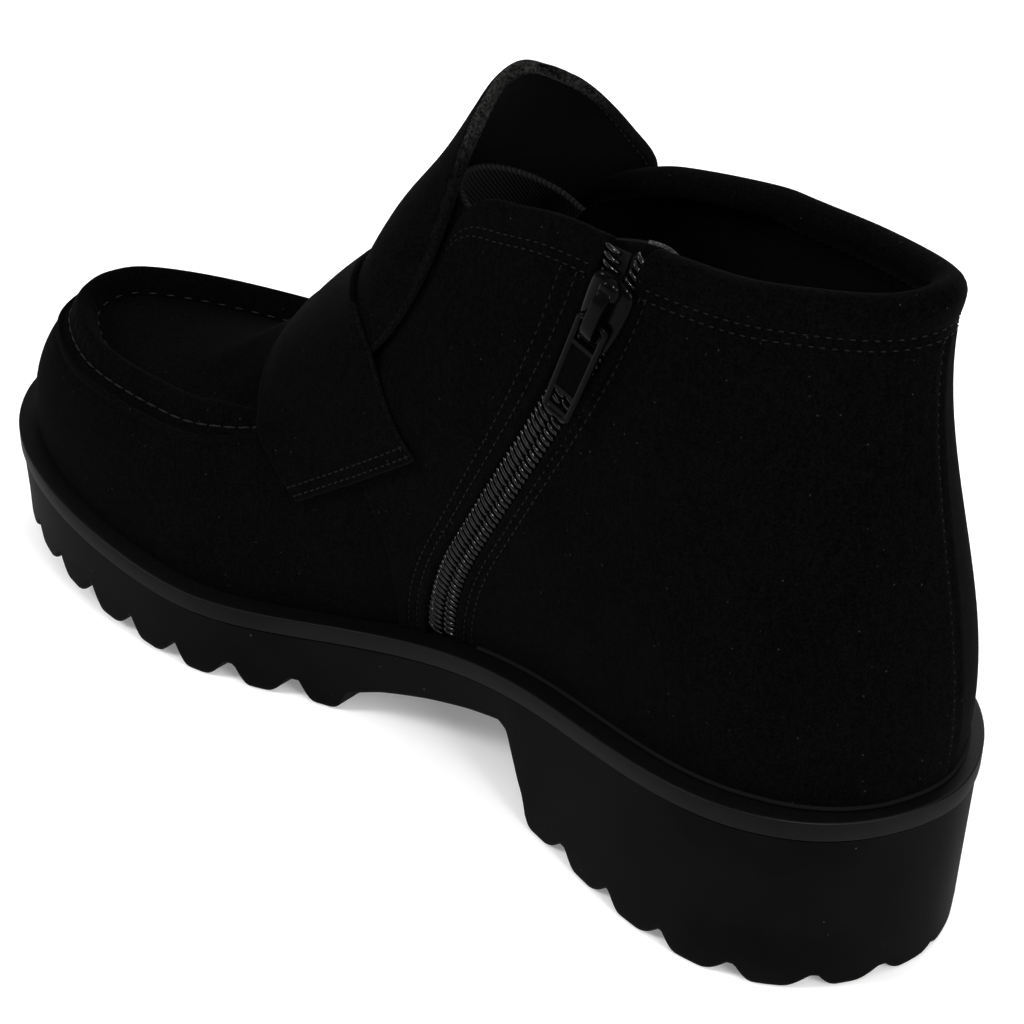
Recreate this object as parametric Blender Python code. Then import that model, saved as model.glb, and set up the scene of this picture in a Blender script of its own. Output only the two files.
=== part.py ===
import math

import bpy
import numpy as np
from mathutils import Matrix, Vector
from mathutils.bvhtree import BVHTree

for old in list(bpy.data.objects):
    bpy.data.objects.remove(old)

# Sizes in millimetres. X runs to the toe, +Y is the medial side of a right shoe, Z is up.
MM = 0.001
GAP = 0.3
WELT_THICK = 5.2
WELT_BEVEL = 0.9
SOLE_STEP_IN = 1.0
WALL = 2.2
FEATHER_IN = 5.2
FEATHER_IN_HEEL = 3.8
TONGUE_THICK = 2.2
STRAP_THICK = 1.8
GORE_THICK = 1.3
INSOLE_THICK = 3.0
INSOLE_IN = 8.4
RIDGE_RISE = 5.0
RIDGE_WIDE = 10.0
LUG_IN = 13.0
HEEL_FRONT = 95.0
FORE_BACK = 157.0
ZIP_FOOT_X = 128.5
ZIP_LOW = 0.025
ZIP_CLEAR = 12.5
ZIP_FADE = 45.0
CHAIN_THICK = 1.6
SLIDER_AT = 0.895
PULL_LONG = 26.0
PULL_WIDE = 8.4
HINGE_DOWN = 4.4
HINGE_OUT = 3.15

# Plan of the welt edge: x, medial y, lateral y
WELT_PLAN = (
    (0.0, 0.8, 0.8),
    (3.4, 14.3, -12.8),
    (14.2, 28.7, -27.0),
    (34.2, 38.1, -35.6),
    (62.7, 37.4, -36.4),
    (96.9, 30.2, -38.0),
    (128.2, 27.6, -43.5),
    (159.6, 31.8, -49.5),
    (193.8, 43.6, -52.6),
    (216.6, 45.4, -50.8),
    (242.2, 43.4, -44.2),
    (262.2, 37.4, -33.0),
    (276.5, 27.6, -17.6),
    (283.6, 17.4, -7.4),
    (286.6, 5.0, 5.0),
)

# Height of the welt's top face: x, z
WELT_TOP = (
    (0.0, 49.2),
    (42.8, 47.0),
    (79.8, 42.6),
    (119.7, 36.0),
    (159.6, 26.8),
    (193.8, 25.2),
    (228.0, 28.5),
    (256.5, 33.0),
    (286.6, 37.2),
)

# Floor of the tread before the lugs stand down from it: x, z, lug depth
TREAD = (
    (0.0, 4.5, 4.5),
    (95.0, 4.5, 4.5),
    (99.0, 11.0, 0.0),
    (104.0, 22.0, 0.0),
    (107.0, 23.6, 0.0),
    (118.0, 20.4, 0.0),
    (131.0, 16.0, 0.0),
    (145.0, 10.8, 0.0),
    (154.0, 6.6, 0.0),
    (157.0, 5.6, 5.6),
    (200.0, 5.6, 5.6),
    (228.0, 7.6, 5.6),
    (256.0, 11.4, 5.6),
    (286.6, 17.0, 5.6),
)

# Wall of the upper, one row per station: foot x, rim x, medial rim y and z, lateral rim y and z,
# outward push of the lower and of the upper third
WALL_ROWS = (
    (0.0, 16.4, 0.4, 162.6, 0.4, 162.6, 7.0, -10.5),
    (3.4, 18.2, 6.8, 162.6, -6.8, 161.6, 7.0, -10.0),
    (14.2, 25.0, 14.0, 162.2, -14.0, 160.0, 6.5, -8.5),
    (34.2, 38.4, 20.0, 161.4, -20.0, 158.0, 6.0, -5.0),
    (62.7, 52.0, 23.2, 160.2, -23.2, 156.8, 5.0, -1.0),
    (96.9, 67.0, 24.2, 159.6, -24.2, 156.4, 6.0, 2.0),
    (128.5, 79.0, 24.2, 159.6, -24.2, 155.6, 8.0, 4.5),
    (150.0, 98.0, 23.4, 159.2, -23.6, 152.4, 8.5, 5.5),
    (165.0, 112.0, 21.6, 156.0, -22.6, 147.4, 7.0, 5.0),
    (174.0, 124.0, 19.4, 149.6, -21.5, 138.5, 5.0, 4.0),
    (181.0, 134.0, 18.8, 133.0, -25.5, 124.0, 4.0, 3.0),
    (189.0, 146.5, 21.0, 110.0, -29.5, 106.0, 3.5, 2.5),
    (197.0, 160.5, 24.5, 90.0, -33.0, 88.5, 3.0, 2.5),
    (205.0, 176.5, 29.0, 75.5, -35.5, 75.0, 3.0, 2.5),
    (214.0, 194.0, 33.0, 67.5, -35.0, 66.5, 3.0, 3.0),
    (228.0, 213.0, 34.4, 64.5, -32.8, 63.0, 3.0, 3.5),
    (242.2, 232.0, 33.0, 63.5, -28.8, 62.2, 3.0, 4.0),
    (262.2, 253.0, 27.5, 63.5, -20.0, 63.0, 3.0, 4.5),
    (276.5, 267.4, 17.2, 64.0, -9.4, 64.0, 2.5, 5.0),
    (283.6, 271.0, 10.2, 64.3, -2.2, 64.3, 2.5, 5.0),
    (286.6, 271.9, 4.0, 64.5, 4.0, 64.5, 2.5, 5.0),
)

# Zip slot up the medial wall: share of the wall's height, shift along the stations, half width in stations
ZIP_ROWS = (
    (0.0, 1.0, 4.3),
    (0.06, 1.6, 4.4),
    (0.14, 1.9, 4.6),
    (0.23, 1.2, 4.8),
    (0.32, -0.6, 5.0),
    (0.42, -2.3, 5.4),
    (0.52, -3.9, 5.9),
    (0.62, -5.2, 6.6),
    (0.72, -6.1, 7.4),
    (0.81, -6.4, 8.1),
    (0.89, -6.0, 8.5),
    (0.95, -5.0, 8.3),
    (1.0, -3.8, 7.8),
)

# Middle line of the apron, rear edge to toe: foot x, spine x, spine y, spine z
PLUG_SPINE = (
    (205.0, 193.5, -5.5, 87.0),
    (214.0, 206.0, -4.5, 76.0),
    (228.0, 222.0, -2.5, 67.5),
    (242.2, 237.0, 0.0, 64.2),
    (262.2, 251.0, 1.5, 63.6),
    (276.5, 258.0, 2.5, 63.8),
    (286.6, 262.0, 3.8, 64.1),
)

# Tongue, lower edge to top: spine x, y, z, medial edge x, y, z, lateral edge x, y, z
TONGUE_ROWS = (
    (192.4, -5.5, 88.2, 176.0, 23.0, 81.0, 176.0, -32.0, 81.0),
    (181.5, -7.5, 100.5, 161.0, 26.0, 93.5, 161.0, -36.0, 93.5),
    (167.5, -8.0, 112.8, 147.0, 26.4, 107.0, 147.0, -39.0, 107.0),
    (160.0, -6.5, 124.5, 137.0, 25.4, 121.0, 137.0, -40.0, 120.0),
    (152.1, -5.5, 138.4, 130.5, 23.1, 138.0, 127.0, -40.5, 135.0),
    (143.4, -5.0, 149.6, 128.5, 18.3, 153.0, 122.0, -36.2, 145.7),
    (137.9, -5.5, 159.7, 128.5, 12.7, 163.0, 122.5, -28.2, 154.6),
    (134.6, -6.0, 167.0, 129.0, 5.9, 168.0, 125.0, -19.9, 163.2),
    (132.2, -6.5, 169.8, 130.5, -2.0, 170.0, 129.0, -11.4, 168.5),
)

# Strap, front edge to rear edge: spine x, y, z, medial end x, y, z, lateral end x, y, z
STRAP_ROWS = (
    (198.0, -7.6, 84.9, 165.0, 35.3, 62.3, 164.5, -44.6, 62.5),
    (184.0, -9.5, 103.0, 145.2, 32.8, 76.5, 145.0, -43.8, 76.8),
    (168.5, -9.5, 115.9, 129.4, 31.0, 88.4, 129.4, -41.8, 88.4),
)

# Elastic gore, lower edge to hem: middle x, y, z, medial edge x, y, z, lateral edge x, y, z
GORE_ROWS = (
    (172.0, -4.5, 97.0, 156.0, 22.0, 88.0, 156.0, -31.0, 88.0),
    (163.0, -4.5, 109.0, 146.0, 19.5, 103.0, 146.0, -29.0, 103.0),
    (152.0, -4.0, 126.0, 135.0, 17.0, 123.0, 135.0, -26.0, 121.0),
    (139.0, -3.0, 146.0, 125.0, 15.5, 146.0, 122.0, -18.0, 135.0),
)


def spline(knots, values, at):
    t = np.asarray(knots, float)
    y = np.asarray(values, float)
    h = np.diff(t)
    n = len(t)
    a = np.eye(n)
    b = np.zeros_like(y)
    for i in range(1, n - 1):
        a[i, i - 1:i + 2] = h[i - 1], 2 * (h[i - 1] + h[i]), h[i]
        b[i] = 6 * ((y[i + 1] - y[i]) / h[i] - (y[i] - y[i - 1]) / h[i - 1])
    m = np.linalg.solve(a, b)
    at = np.asarray(at, float)
    i = np.clip(np.searchsorted(t, at) - 1, 0, n - 2)
    wide = (slice(None),) * at.ndim + (None,) * (y.ndim - 1)
    before = (at - t[i])[wide]
    after = (t[i + 1] - at)[wide]
    step = h[i][wide]
    cubic = (m[i] * after**3 + m[i + 1] * before**3) / (6 * step)
    from_left = (y[i] / step - m[i] * step / 6) * after
    from_right = (y[i + 1] / step - m[i + 1] * step / 6) * before
    return cubic + from_left + from_right


def plan_stations():
    rows = np.array(WELT_PLAN)
    medial = rows[:, [0, 1]]
    lateral = rows[:, [0, 2]]
    medial_steps = np.linalg.norm(np.diff(medial, axis=0), axis=1)
    lateral_steps = np.linalg.norm(np.diff(lateral, axis=0), axis=1)
    s = np.r_[0, np.cumsum(medial_steps + lateral_steps) / 2]
    loop = np.r_[medial, lateral[-2:0:-1]]
    t = np.r_[s, 2 * s[-1] - s[-2:0:-1]]
    turns = np.r_[t - 2 * s[-1], t, t + 2 * s[-1]]
    return s[-1], turns, np.tile(loop, (3, 1))


HALF, PLAN_T, PLAN_P = plan_stations()


def outline(t):
    return spline(PLAN_T, PLAN_P, t)


def outward(t):
    d = outline(np.asarray(t) + 0.4) - outline(np.asarray(t) - 0.4)
    n = np.stack([-d[..., 1], d[..., 0]], -1)
    return n / np.linalg.norm(n, axis=-1, keepdims=True)


FINE_S = np.linspace(0, HALF, 1200)
FINE_X = (outline(FINE_S)[:, 0] + outline(-FINE_S)[:, 0]) / 2


def station(x):
    return np.interp(x, FINE_X, FINE_S)


def welt_top(x):
    rows = np.array(WELT_TOP)
    return spline(rows[:, 0], rows[:, 1], x)


def closed_table(rows, columns):
    rows = np.array(rows)
    s = station(rows[:, 0])
    s[0] = 0.0
    s[-1] = HALF
    medial = rows[:, columns[0]]
    lateral = rows[:, columns[1]]
    loop = np.r_[medial, lateral[-2:0:-1]]
    t = np.r_[s, 2 * HALF - s[-2:0:-1]]
    turns = np.r_[t - 2 * HALF, t, t + 2 * HALF]
    return turns, np.tile(loop, (3, 1))


RIM_T, RIM_P = closed_table(WALL_ROWS, ((1, 2, 3, 6, 7), (1, 4, 5, 6, 7)))


def wall(t, v):
    # Outer face of the wall: t round the shoe, v from the welt to the rim
    t = np.asarray(t, float)
    v = np.asarray(v, float)[..., None]
    rim = spline(RIM_T, RIM_P, t)
    n = np.concatenate([outward(t), np.zeros(t.shape + (1,))], -1)
    around = np.abs((t + HALF) % (2 * HALF) - HALF)
    inset = np.interp(around, (0.0, 20.0, 50.0), (FEATHER_IN_HEEL, FEATHER_IN_HEEL, FEATHER_IN))
    foot_xy = outline(t) - inset[..., None] * n[..., :2]
    foot = np.concatenate([foot_xy, welt_top(foot_xy[..., 0])[..., None] + GAP], -1)
    top = rim[..., :3]
    span = top - foot
    low = foot + span * np.array([0.2, 0.2, 0.33]) + n * rim[..., 3:4]
    high = foot + span * np.array([0.72, 0.72, 0.68]) + n * rim[..., 4:5]
    w = 1 - v
    return w**3 * foot + 3 * w**2 * v * low + 3 * w * v**2 * high + v**3 * top


def rim_inward(t):
    t = np.asarray(t)
    d = (spline(RIM_T, RIM_P, t + 0.4) - spline(RIM_T, RIM_P, t - 0.4))[..., :2]
    n = np.stack([d[..., 1], -d[..., 0]], -1)
    return n / np.linalg.norm(n, axis=-1, keepdims=True)


class Sheet:
    # Open surface gathered as points and faces, thickened into a closed solid
    def __init__(self):
        self.points = []
        self.faces = []

    def add(self, point):
        self.points.append(np.asarray(point, float))
        return len(self.points) - 1

    def face(self, *corners):
        kept = [c for i, c in enumerate(corners) if c != corners[i - 1]]
        if len(kept) > 2:
            self.faces.append(tuple(kept))

    def grid(self, points):
        ids = [[self.add(p) for p in row] for row in points]
        for a, b in zip(ids, ids[1:]):
            for i in range(len(a) - 1):
                self.face(a[i], a[i + 1], b[i + 1], b[i])
        return ids

    def normals(self):
        p = np.array(self.points)
        n = np.zeros_like(p)
        for f in self.faces:
            for i in range(1, len(f) - 1):
                c = np.cross(p[f[i]] - p[f[0]], p[f[i + 1]] - p[f[0]])
                n[[f[0], f[i], f[i + 1]]] += c
        return n / np.linalg.norm(n, axis=1, keepdims=True)

    def solid(self, thick, level=()):
        p = np.array(self.points)
        inner = p - self.normals() * thick
        for i in level:
            inner[i, 2] = p[i, 2]
        count = len(p)
        faces = list(self.faces) + [tuple(c + count for c in reversed(f)) for f in self.faces]
        used = {(f[i - 1], f[i]) for f in self.faces for i in range(len(f))}
        for a, b in used:
            if (b, a) not in used:
                faces.append((b, a, a + count, b + count))
        return np.r_[p, inner], faces


def ring_stack(rings, cap_first, cap_last):
    # Closed solid from rings with the same stations: heel tip, medial side, toe tip, lateral side
    points = np.concatenate(rings)
    n = len(rings[0])
    half = n // 2
    faces = []
    for r in range(len(rings) - 1):
        for i in range(n):
            j = (i + 1) % n
            faces.append((r * n + i, r * n + j, (r + 1) * n + j, (r + 1) * n + i))
    for ring, flip, wanted in ((0, True, cap_first), (len(rings) - 1, False, cap_last)):
        if not wanted:
            continue
        at = ring * n
        for i in range(half):
            quad = [at + i, at + i + 1, at + (n - i - 1) % n, at + (n - i) % n]
            quad = [c for k, c in enumerate(quad) if c != quad[k - 1]]
            faces.append(tuple(reversed(quad)) if flip else tuple(quad))
    return points, faces


def loop_stations(half_stations):
    s = np.asarray(half_stations)
    return np.r_[s, 2 * HALF - s[-2:0:-1]]


def offset_ring(t, inset, height):
    p = outline(t) - outward(t) * inset
    z = height(p[:, 0]) if callable(height) else np.broadcast_to(height, len(t))
    return np.c_[p, z]


def spread(count):
    # Stations set closer at the heel and toe curves
    q = np.linspace(0, 1, count)
    return HALF * (q - 0.085 * np.sin(2 * math.pi * q) / (2 * math.pi) * 2)


def mesh_object(name, points, faces, colour, rough, shift):
    mesh = bpy.data.meshes.new(name)
    mesh.from_pydata([tuple((p - shift) * MM) for p in points], [], faces)
    mesh.validate()
    obj = bpy.data.objects.new(name, mesh)
    bpy.context.scene.collection.objects.link(obj)
    material = bpy.data.materials.new(name)
    material.use_nodes = True
    shader = material.node_tree.nodes["Principled BSDF"]
    shader.inputs["Base Color"].default_value = (*colour, 1.0)
    shader.inputs["Roughness"].default_value = rough
    mesh.materials.append(material)
    return obj


def build_welt():
    t = loop_stations(spread(37))
    rings = [
        offset_ring(t, WELT_BEVEL, welt_top),
        offset_ring(t, 0.0, lambda x: welt_top(x) - WELT_BEVEL),
        offset_ring(t, 0.0, lambda x: welt_top(x) - WELT_THICK + 0.6),
        offset_ring(t, 0.6, lambda x: welt_top(x) - WELT_THICK),
    ]
    return ring_stack(rings, True, True)


def build_insole():
    t = loop_stations(spread(33))
    rings = [
        offset_ring(t, INSOLE_IN + 0.8, lambda x: welt_top(x) + GAP + INSOLE_THICK),
        offset_ring(t, INSOLE_IN, lambda x: welt_top(x) + GAP + INSOLE_THICK - 0.8),
        offset_ring(t, INSOLE_IN, lambda x: welt_top(x) + GAP),
    ]
    return ring_stack(rings, True, True)


# Lugs along each side: foot x of the middle, half width at the ground
LUGS = (
    (1.0, 5.0),
    (9.0, 4.0),
    (22.5, 5.0),
    (40.0, 5.0),
    (57.0, 4.6),
    (73.5, 4.4),
    (90.5, 4.2),
    (161.5, 3.8),
    (178.0, 4.0),
    (195.0, 4.2),
    (211.0, 4.2),
    (226.5, 4.2),
    (242.0, 4.0),
    (256.0, 4.0),
    (268.0, 4.0),
    (277.5, 4.0),
    (283.6, 4.0),
)
LUG_RUN = 2.2


def tread(x):
    rows = np.array(TREAD)
    return np.interp(x, rows[:, 0], rows[:, 1]), np.interp(x, rows[:, 0], rows[:, 2])


def lug_share(s):
    share = np.zeros_like(s)
    for x, half in LUGS:
        d = np.abs(s - station(x)) - half
        share = np.maximum(share, np.clip(1 - d / LUG_RUN, 0, 1))
    return share


def sole_stations():
    s = {0.0, float(HALF)}
    for x, half in LUGS:
        for d in (-half - LUG_RUN, -half, half, half + LUG_RUN):
            s.add(float(np.clip(station(x) + d, 0, HALF)))
    for x in (99.0, 104.0, 107.0, 113.0, 120.0, 131.0, 139.0, 147.0, 153.0):
        s.add(float(station(x)))
    s = np.array(sorted(s))
    return s[np.r_[True, np.diff(s) > 0.5]]


def build_outsole():
    s = sole_stations()
    s[-1] = HALF
    t = loop_stations(s)
    half_t = np.minimum(t, 2 * HALF - t)
    share = lug_share(half_t)
    foot = outline(t)
    x_mid = np.interp(half_t, FINE_S, FINE_X)
    floor, depth = tread(x_mid)
    y_mid = (outline(half_t)[:, 1] + outline(-half_t)[:, 1]) / 2
    middle = np.c_[np.clip(x_mid, 24.0, 262.0), y_mid]

    def inward(inset):
        to = middle - foot
        far = np.linalg.norm(to, axis=1, keepdims=True)
        return foot + to / far * np.minimum(inset, 0.8 * far)

    rake = np.interp(x_mid, (0.0, 6.0, 30.0, 60.0, 95.0, 105.0), (0.8, 0.2, -2.4, -2.6, -1.6, 0.0))
    low = outline(t) - outward(t) * (SOLE_STEP_IN + rake)[:, None]
    pad = ((x_mid > 14) & (x_mid < HEEL_FRONT - 3)) | ((x_mid > FORE_BACK + 4) & (x_mid < 262))
    rings = [
        offset_ring(t, SOLE_STEP_IN * 0.6, lambda x: welt_top(x) - WELT_THICK - GAP),
        np.c_[low, floor - depth * share],
        np.c_[inward(LUG_IN), floor - depth * share],
        np.c_[inward(LUG_IN + 2.0), floor],
        np.c_[inward(LUG_IN + 4.0), floor],
        np.c_[inward(LUG_IN + 6.0), floor - depth * pad],
    ]
    return ring_stack(rings, True, True)


ROWS_V = (0.0, 0.025, 0.06, 0.14, 0.23, 0.32, 0.42, 0.52, 0.62, 0.72, 0.81, 0.89, 0.95, 1.0)


def zip_line(v):
    # Station of the slot's middle and half its width there
    rows = np.array(ZIP_ROWS)
    shift, half = spline(rows[:, 0], rows[:, 1:], np.asarray(v, float)).T
    return station(ZIP_FOOT_X) + shift, half


def upper_stations():
    zip_s = float(station(ZIP_FOOT_X))
    s = [x for x in spread(40) if abs(x - zip_s) > ZIP_CLEAR + 4.0]
    extra = [zip_s + d for d in (-ZIP_CLEAR, -1.0, 1.0, ZIP_CLEAR)]
    s = np.array(sorted(s + extra + [float(station(205.0))]))
    return s[np.r_[True, np.diff(s) > 1.2]]


def columns(t, v):
    # Stations of every grid point: the columns beside the slot lean with it and two bound it
    zip_s = float(station(ZIP_FOOT_X))
    middle, half = zip_line(v)
    near = np.clip((ZIP_FADE - np.abs(t - zip_s)) / (ZIP_FADE - ZIP_CLEAR - 2.5), 0, 1)
    grid = t[:, None] + near[:, None] * (middle - zip_s)[None]
    for side in (-1, 1):
        grid[int(np.argmin(np.abs(t - zip_s - side)))] = middle + side * half
    return grid


def ridge_share(s):
    return 0.3 + 0.7 * np.clip((s - station(205.0)) / (station(216.0) - station(205.0)), 0, 1)


def build_upper():
    s = upper_stations()
    t = loop_stations(s)
    n = len(t)
    half = len(s) - 1
    sheet = Sheet()
    v = np.array(ROWS_V)
    grid = wall(columns(t, v), np.repeat(v[None], n, 0))
    ids = [[sheet.add(p) for p in row] for row in grid]
    zip_s = station(ZIP_FOOT_X)
    for i in range(n):
        j = (i + 1) % n
        in_slot = i < half and abs(s[i] - zip_s + 1.0) < 0.01
        for r in range(len(v) - 1):
            if in_slot and v[r] >= ZIP_LOW:
                continue
            sheet.face(ids[i][r], ids[i][r + 1], ids[j][r + 1], ids[j][r])
    first = int(np.argmin(np.abs(s - station(205.0))))
    ridge = [i for i in range(n) if first <= min(i, n - i)]
    into = rim_inward(t)
    shape = ((0.1, 0.55), (0.3, 0.95), (0.5, 1.0), (0.72, 0.72), (0.95, 0.1))
    for i in ridge:
        share = ridge_share(min(t[i], 2 * HALF - t[i]))
        for across, up in shape:
            p = grid[i, -1].copy()
            p[:2] += into[i] * RIDGE_WIDE * across
            p[2] += RIDGE_RISE * up * share
            ids[i].append(sheet.add(p))
    for i, j in zip(ridge, ridge[1:]):
        for r in range(len(v) - 1, len(ids[i]) - 1):
            sheet.face(ids[i][r], ids[i][r + 1], ids[j][r + 1], ids[j][r])
    spine_rows = np.array(PLUG_SPINE)
    spine_s = station(spine_rows[:, 0])
    spine_s[-1] = HALF
    across = np.linspace(1, -1, 9)
    before = None
    for i in range(first, half + 1):
        k = (n - i) % n
        a = sheet.points[ids[i][-1]]
        b = sheet.points[ids[k][-1]]
        mid = spline(spine_s, spine_rows[:, 1:], s[i])
        row = [ids[i][-1]]
        for w in across[1:-1]:
            row.append(sheet.add(mid + w * (a - b) / 2 + w * w * ((a + b) / 2 - mid)))
        row.append(ids[k][-1])
        if i == half:
            for c in row[1:-1]:
                sheet.points.pop()
            row = [ids[i][-1]] * len(row)
        if before:
            for c in range(len(row) - 1):
                sheet.face(before[c], before[c + 1], row[c + 1], row[c])
        before = row
    level = [row[0] for row in ids]
    return sheet.solid(WALL, level)


def arch(rows, share, across):
    # Point grid over arches through a medial edge, a middle and a lateral edge
    rows = np.array(rows)
    at = spline(np.linspace(0, 1, len(rows)), rows, share)
    middle = at[:, None, 0:3]
    medial = at[:, None, 3:6]
    lateral = at[:, None, 6:9]
    turn = across[None, :, None] * math.pi / 2
    half = (medial - lateral) / 2
    centre = (medial + lateral) / 2
    return centre + half * np.sin(turn) + (middle - centre) * np.cos(turn)


def tree(*solids):
    points = []
    faces = []
    for p, f in solids:
        faces += [tuple(c + len(points) for c in corners) for corners in f]
        points += [tuple(q) for q in p]
    return BVHTree.FromPolygons(points, faces)


def spread_max(values):
    wide = np.pad(values, 1, mode="edge")
    rows, columns = values.shape
    near = [wide[i:i + rows, j:j + columns] for i in range(3) for j in range(3)]
    return np.max(near, axis=0)


def push_out(points, axis, bodies, clear):
    # Points are moved away from their axis points until they and their neighbours clear the bodies
    ray = points - axis
    far = np.linalg.norm(ray, axis=-1)
    ray = ray / far[..., None]
    more = np.zeros_like(far)
    for index in np.ndindex(far.shape):
        start = axis[index] + ray[index] * (far[index] + 40)
        hit = bodies.ray_cast(Vector(start), Vector(-ray[index]), 40 + far[index] * 0.6)
        if hit[0] is not None:
            more[index] = max(0.0, 40 - hit[3] + clear)
    out = axis + ray * (far + spread_max(more))[..., None]
    for index in np.ndindex(far.shape):
        for _ in range(3):
            near, normal, _, away = bodies.find_nearest(Vector(out[index]))
            if away < clear:
                out[index] += np.array(normal) * (clear - away)
    return out


def build_tongue(upper):
    across = np.linspace(1, -1, 17)
    share = np.linspace(0, 1, 15)
    grid = arch(TONGUE_ROWS, share, across)
    axis = grid.copy()
    axis[..., 0] = grid[:, :1, 0] * 0.5 + grid[:, -1:, 0] * 0.5 - 6
    axis[..., 1] = -4.0
    axis[..., 2] = grid[..., 2] - 4
    grid = push_out(grid, axis, tree(upper), GAP + TONGUE_THICK)
    sheet = Sheet()
    sheet.grid(grid[:, ::-1])
    return sheet.solid(TONGUE_THICK)


def build_strap(upper, tongue):
    across = np.linspace(1, -1, 25)
    share = np.linspace(0, 1, 9)
    grid = arch(STRAP_ROWS, share, across)
    axis = np.broadcast_to((grid[:, :1] + grid[:, -1:]) / 2, grid.shape).copy()
    axis[..., 2] -= 6
    grid = push_out(grid, axis, tree(upper, tongue), GAP + STRAP_THICK + 0.35)
    sheet = Sheet()
    sheet.grid(grid[:, ::-1])
    return sheet.solid(STRAP_THICK)


def build_gore(bodies):
    # Held inside the quarters: each point stops short of what its ray from the ankle meets
    grid = arch(GORE_ROWS, np.linspace(0, 1, 9), np.linspace(-1, 1, 17))
    base = np.stack([grid[..., 0] * 0.4 + 70.0, np.full(grid.shape[:2], -4.0), grid[..., 2]], -1)
    ray = grid - base
    far = np.linalg.norm(ray, axis=-1)
    ray = ray / far[..., None]
    short = np.zeros_like(far)
    for index in np.ndindex(far.shape):
        hit = bodies.ray_cast(Vector(base[index]), Vector(ray[index]), far[index] + 3)
        if hit[0] is not None:
            short[index] = max(0.0, far[index] - hit[3] + GAP + 0.25)
    grid = base + ray * (far - spread_max(short))[..., None]
    sheet = Sheet()
    sheet.grid(grid)
    return sheet.solid(GORE_THICK)


def zip_frame(v):
    # Point and axes on the zip line: up along the zip, across it to the toe, out of the shoe
    ends = np.array([v - 0.02, v, v + 0.02])
    middle, half = zip_line(ends)
    below, at, above = wall(middle, ends)
    back, front = wall(middle[1] + np.array([-2.0, 2.0]), np.array([v, v]))
    up = (above - below) / np.linalg.norm(above - below)
    side = front - back
    out = np.cross(up, side)
    out = out / np.linalg.norm(out)
    side = np.cross(out, up)
    return at, np.array([up, side, out])


def build_chain():
    rows_v = np.array([v for v in ROWS_V if v >= ZIP_LOW])
    v = np.interp(np.linspace(0, len(rows_v) - 1, 2 * len(rows_v) - 1), range(len(rows_v)), rows_v)
    v = np.r_[v[0] + 0.005, v[1:-1], 0.995]
    middle, half = zip_line(v)
    p = wall(middle[:, None] + half[:, None] * np.array([-1.0, 0.0, 1.0]), np.repeat(v[:, None], 3, 1))
    d = p[:, 2] - p[:, 0]
    d = d / np.linalg.norm(d, axis=1, keepdims=True)
    p[:, 0] += d * (GAP + 0.1)
    p[:, 2] -= d * (GAP + 0.1)
    sheet = Sheet()
    sheet.grid(p[:, ::-1])
    normal = sheet.normals()
    sheet.points = [q - k * 0.3 for q, k in zip(sheet.points, normal)]
    return sheet.solid(CHAIN_THICK)


def blocks(xs, ys, zs, filled):
    # Closed solid over the filled cells of a small box grid
    def full(i, j, k):
        inside = 0 <= i < len(xs) - 1 and 0 <= j < len(ys) - 1 and 0 <= k < len(zs) - 1
        return inside and filled(i, j, k)

    sides = (
        ((1, 0, 0), ((1, 0, 0), (1, 1, 0), (1, 1, 1), (1, 0, 1))),
        ((-1, 0, 0), ((0, 0, 0), (0, 0, 1), (0, 1, 1), (0, 1, 0))),
        ((0, 1, 0), ((0, 1, 0), (0, 1, 1), (1, 1, 1), (1, 1, 0))),
        ((0, -1, 0), ((0, 0, 0), (1, 0, 0), (1, 0, 1), (0, 0, 1))),
        ((0, 0, 1), ((0, 0, 1), (1, 0, 1), (1, 1, 1), (0, 1, 1))),
        ((0, 0, -1), ((0, 0, 0), (0, 1, 0), (1, 1, 0), (1, 0, 0))),
    )
    ids = {}
    faces = []
    for i, j, k in np.ndindex(len(xs) - 1, len(ys) - 1, len(zs) - 1):
        if not full(i, j, k):
            continue
        for step, corners in sides:
            if full(i + step[0], j + step[1], k + step[2]):
                continue
            quad = [(i + a, j + b, k + c) for a, b, c in corners]
            faces.append(tuple(ids.setdefault(q, len(ids)) for q in quad))
    points = [(xs[i], ys[j], zs[k]) for i, j, k in ids]
    return np.array(points, float), faces


def build_slider():
    # Plate over the chain with a bridge along the zip that holds the pull
    xs = (-11.0, -8.2, -6.6, -2.2, 1.6, 6.5)
    ys = (-5.4, -1.3, 1.3, 5.4)
    zs = (0.4, 2.0, 4.3, 5.4)

    def filled(i, j, k):
        plate = k == 0
        bridge = j == 1 and ((k == 2 and 1 <= i <= 3) or (k == 1 and i in (1, 3)))
        return plate or bridge

    return blocks(xs, ys, zs, filled)


def build_pull():
    # Flat frame hung on the bridge: bar, two sides, a plate and a small window near its end
    half = PULL_WIDE / 2
    xs = (-PULL_LONG, -PULL_LONG + 2.5, -PULL_LONG + 6.5, -6.5, -0.75, 0.75)
    ys = (-half, -1.9, 1.9, half)
    zs = (-0.75, 0.75)

    def filled(i, j, k):
        return not (j == 1 and i in (1, 3))

    return blocks(xs, ys, zs, filled)


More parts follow.
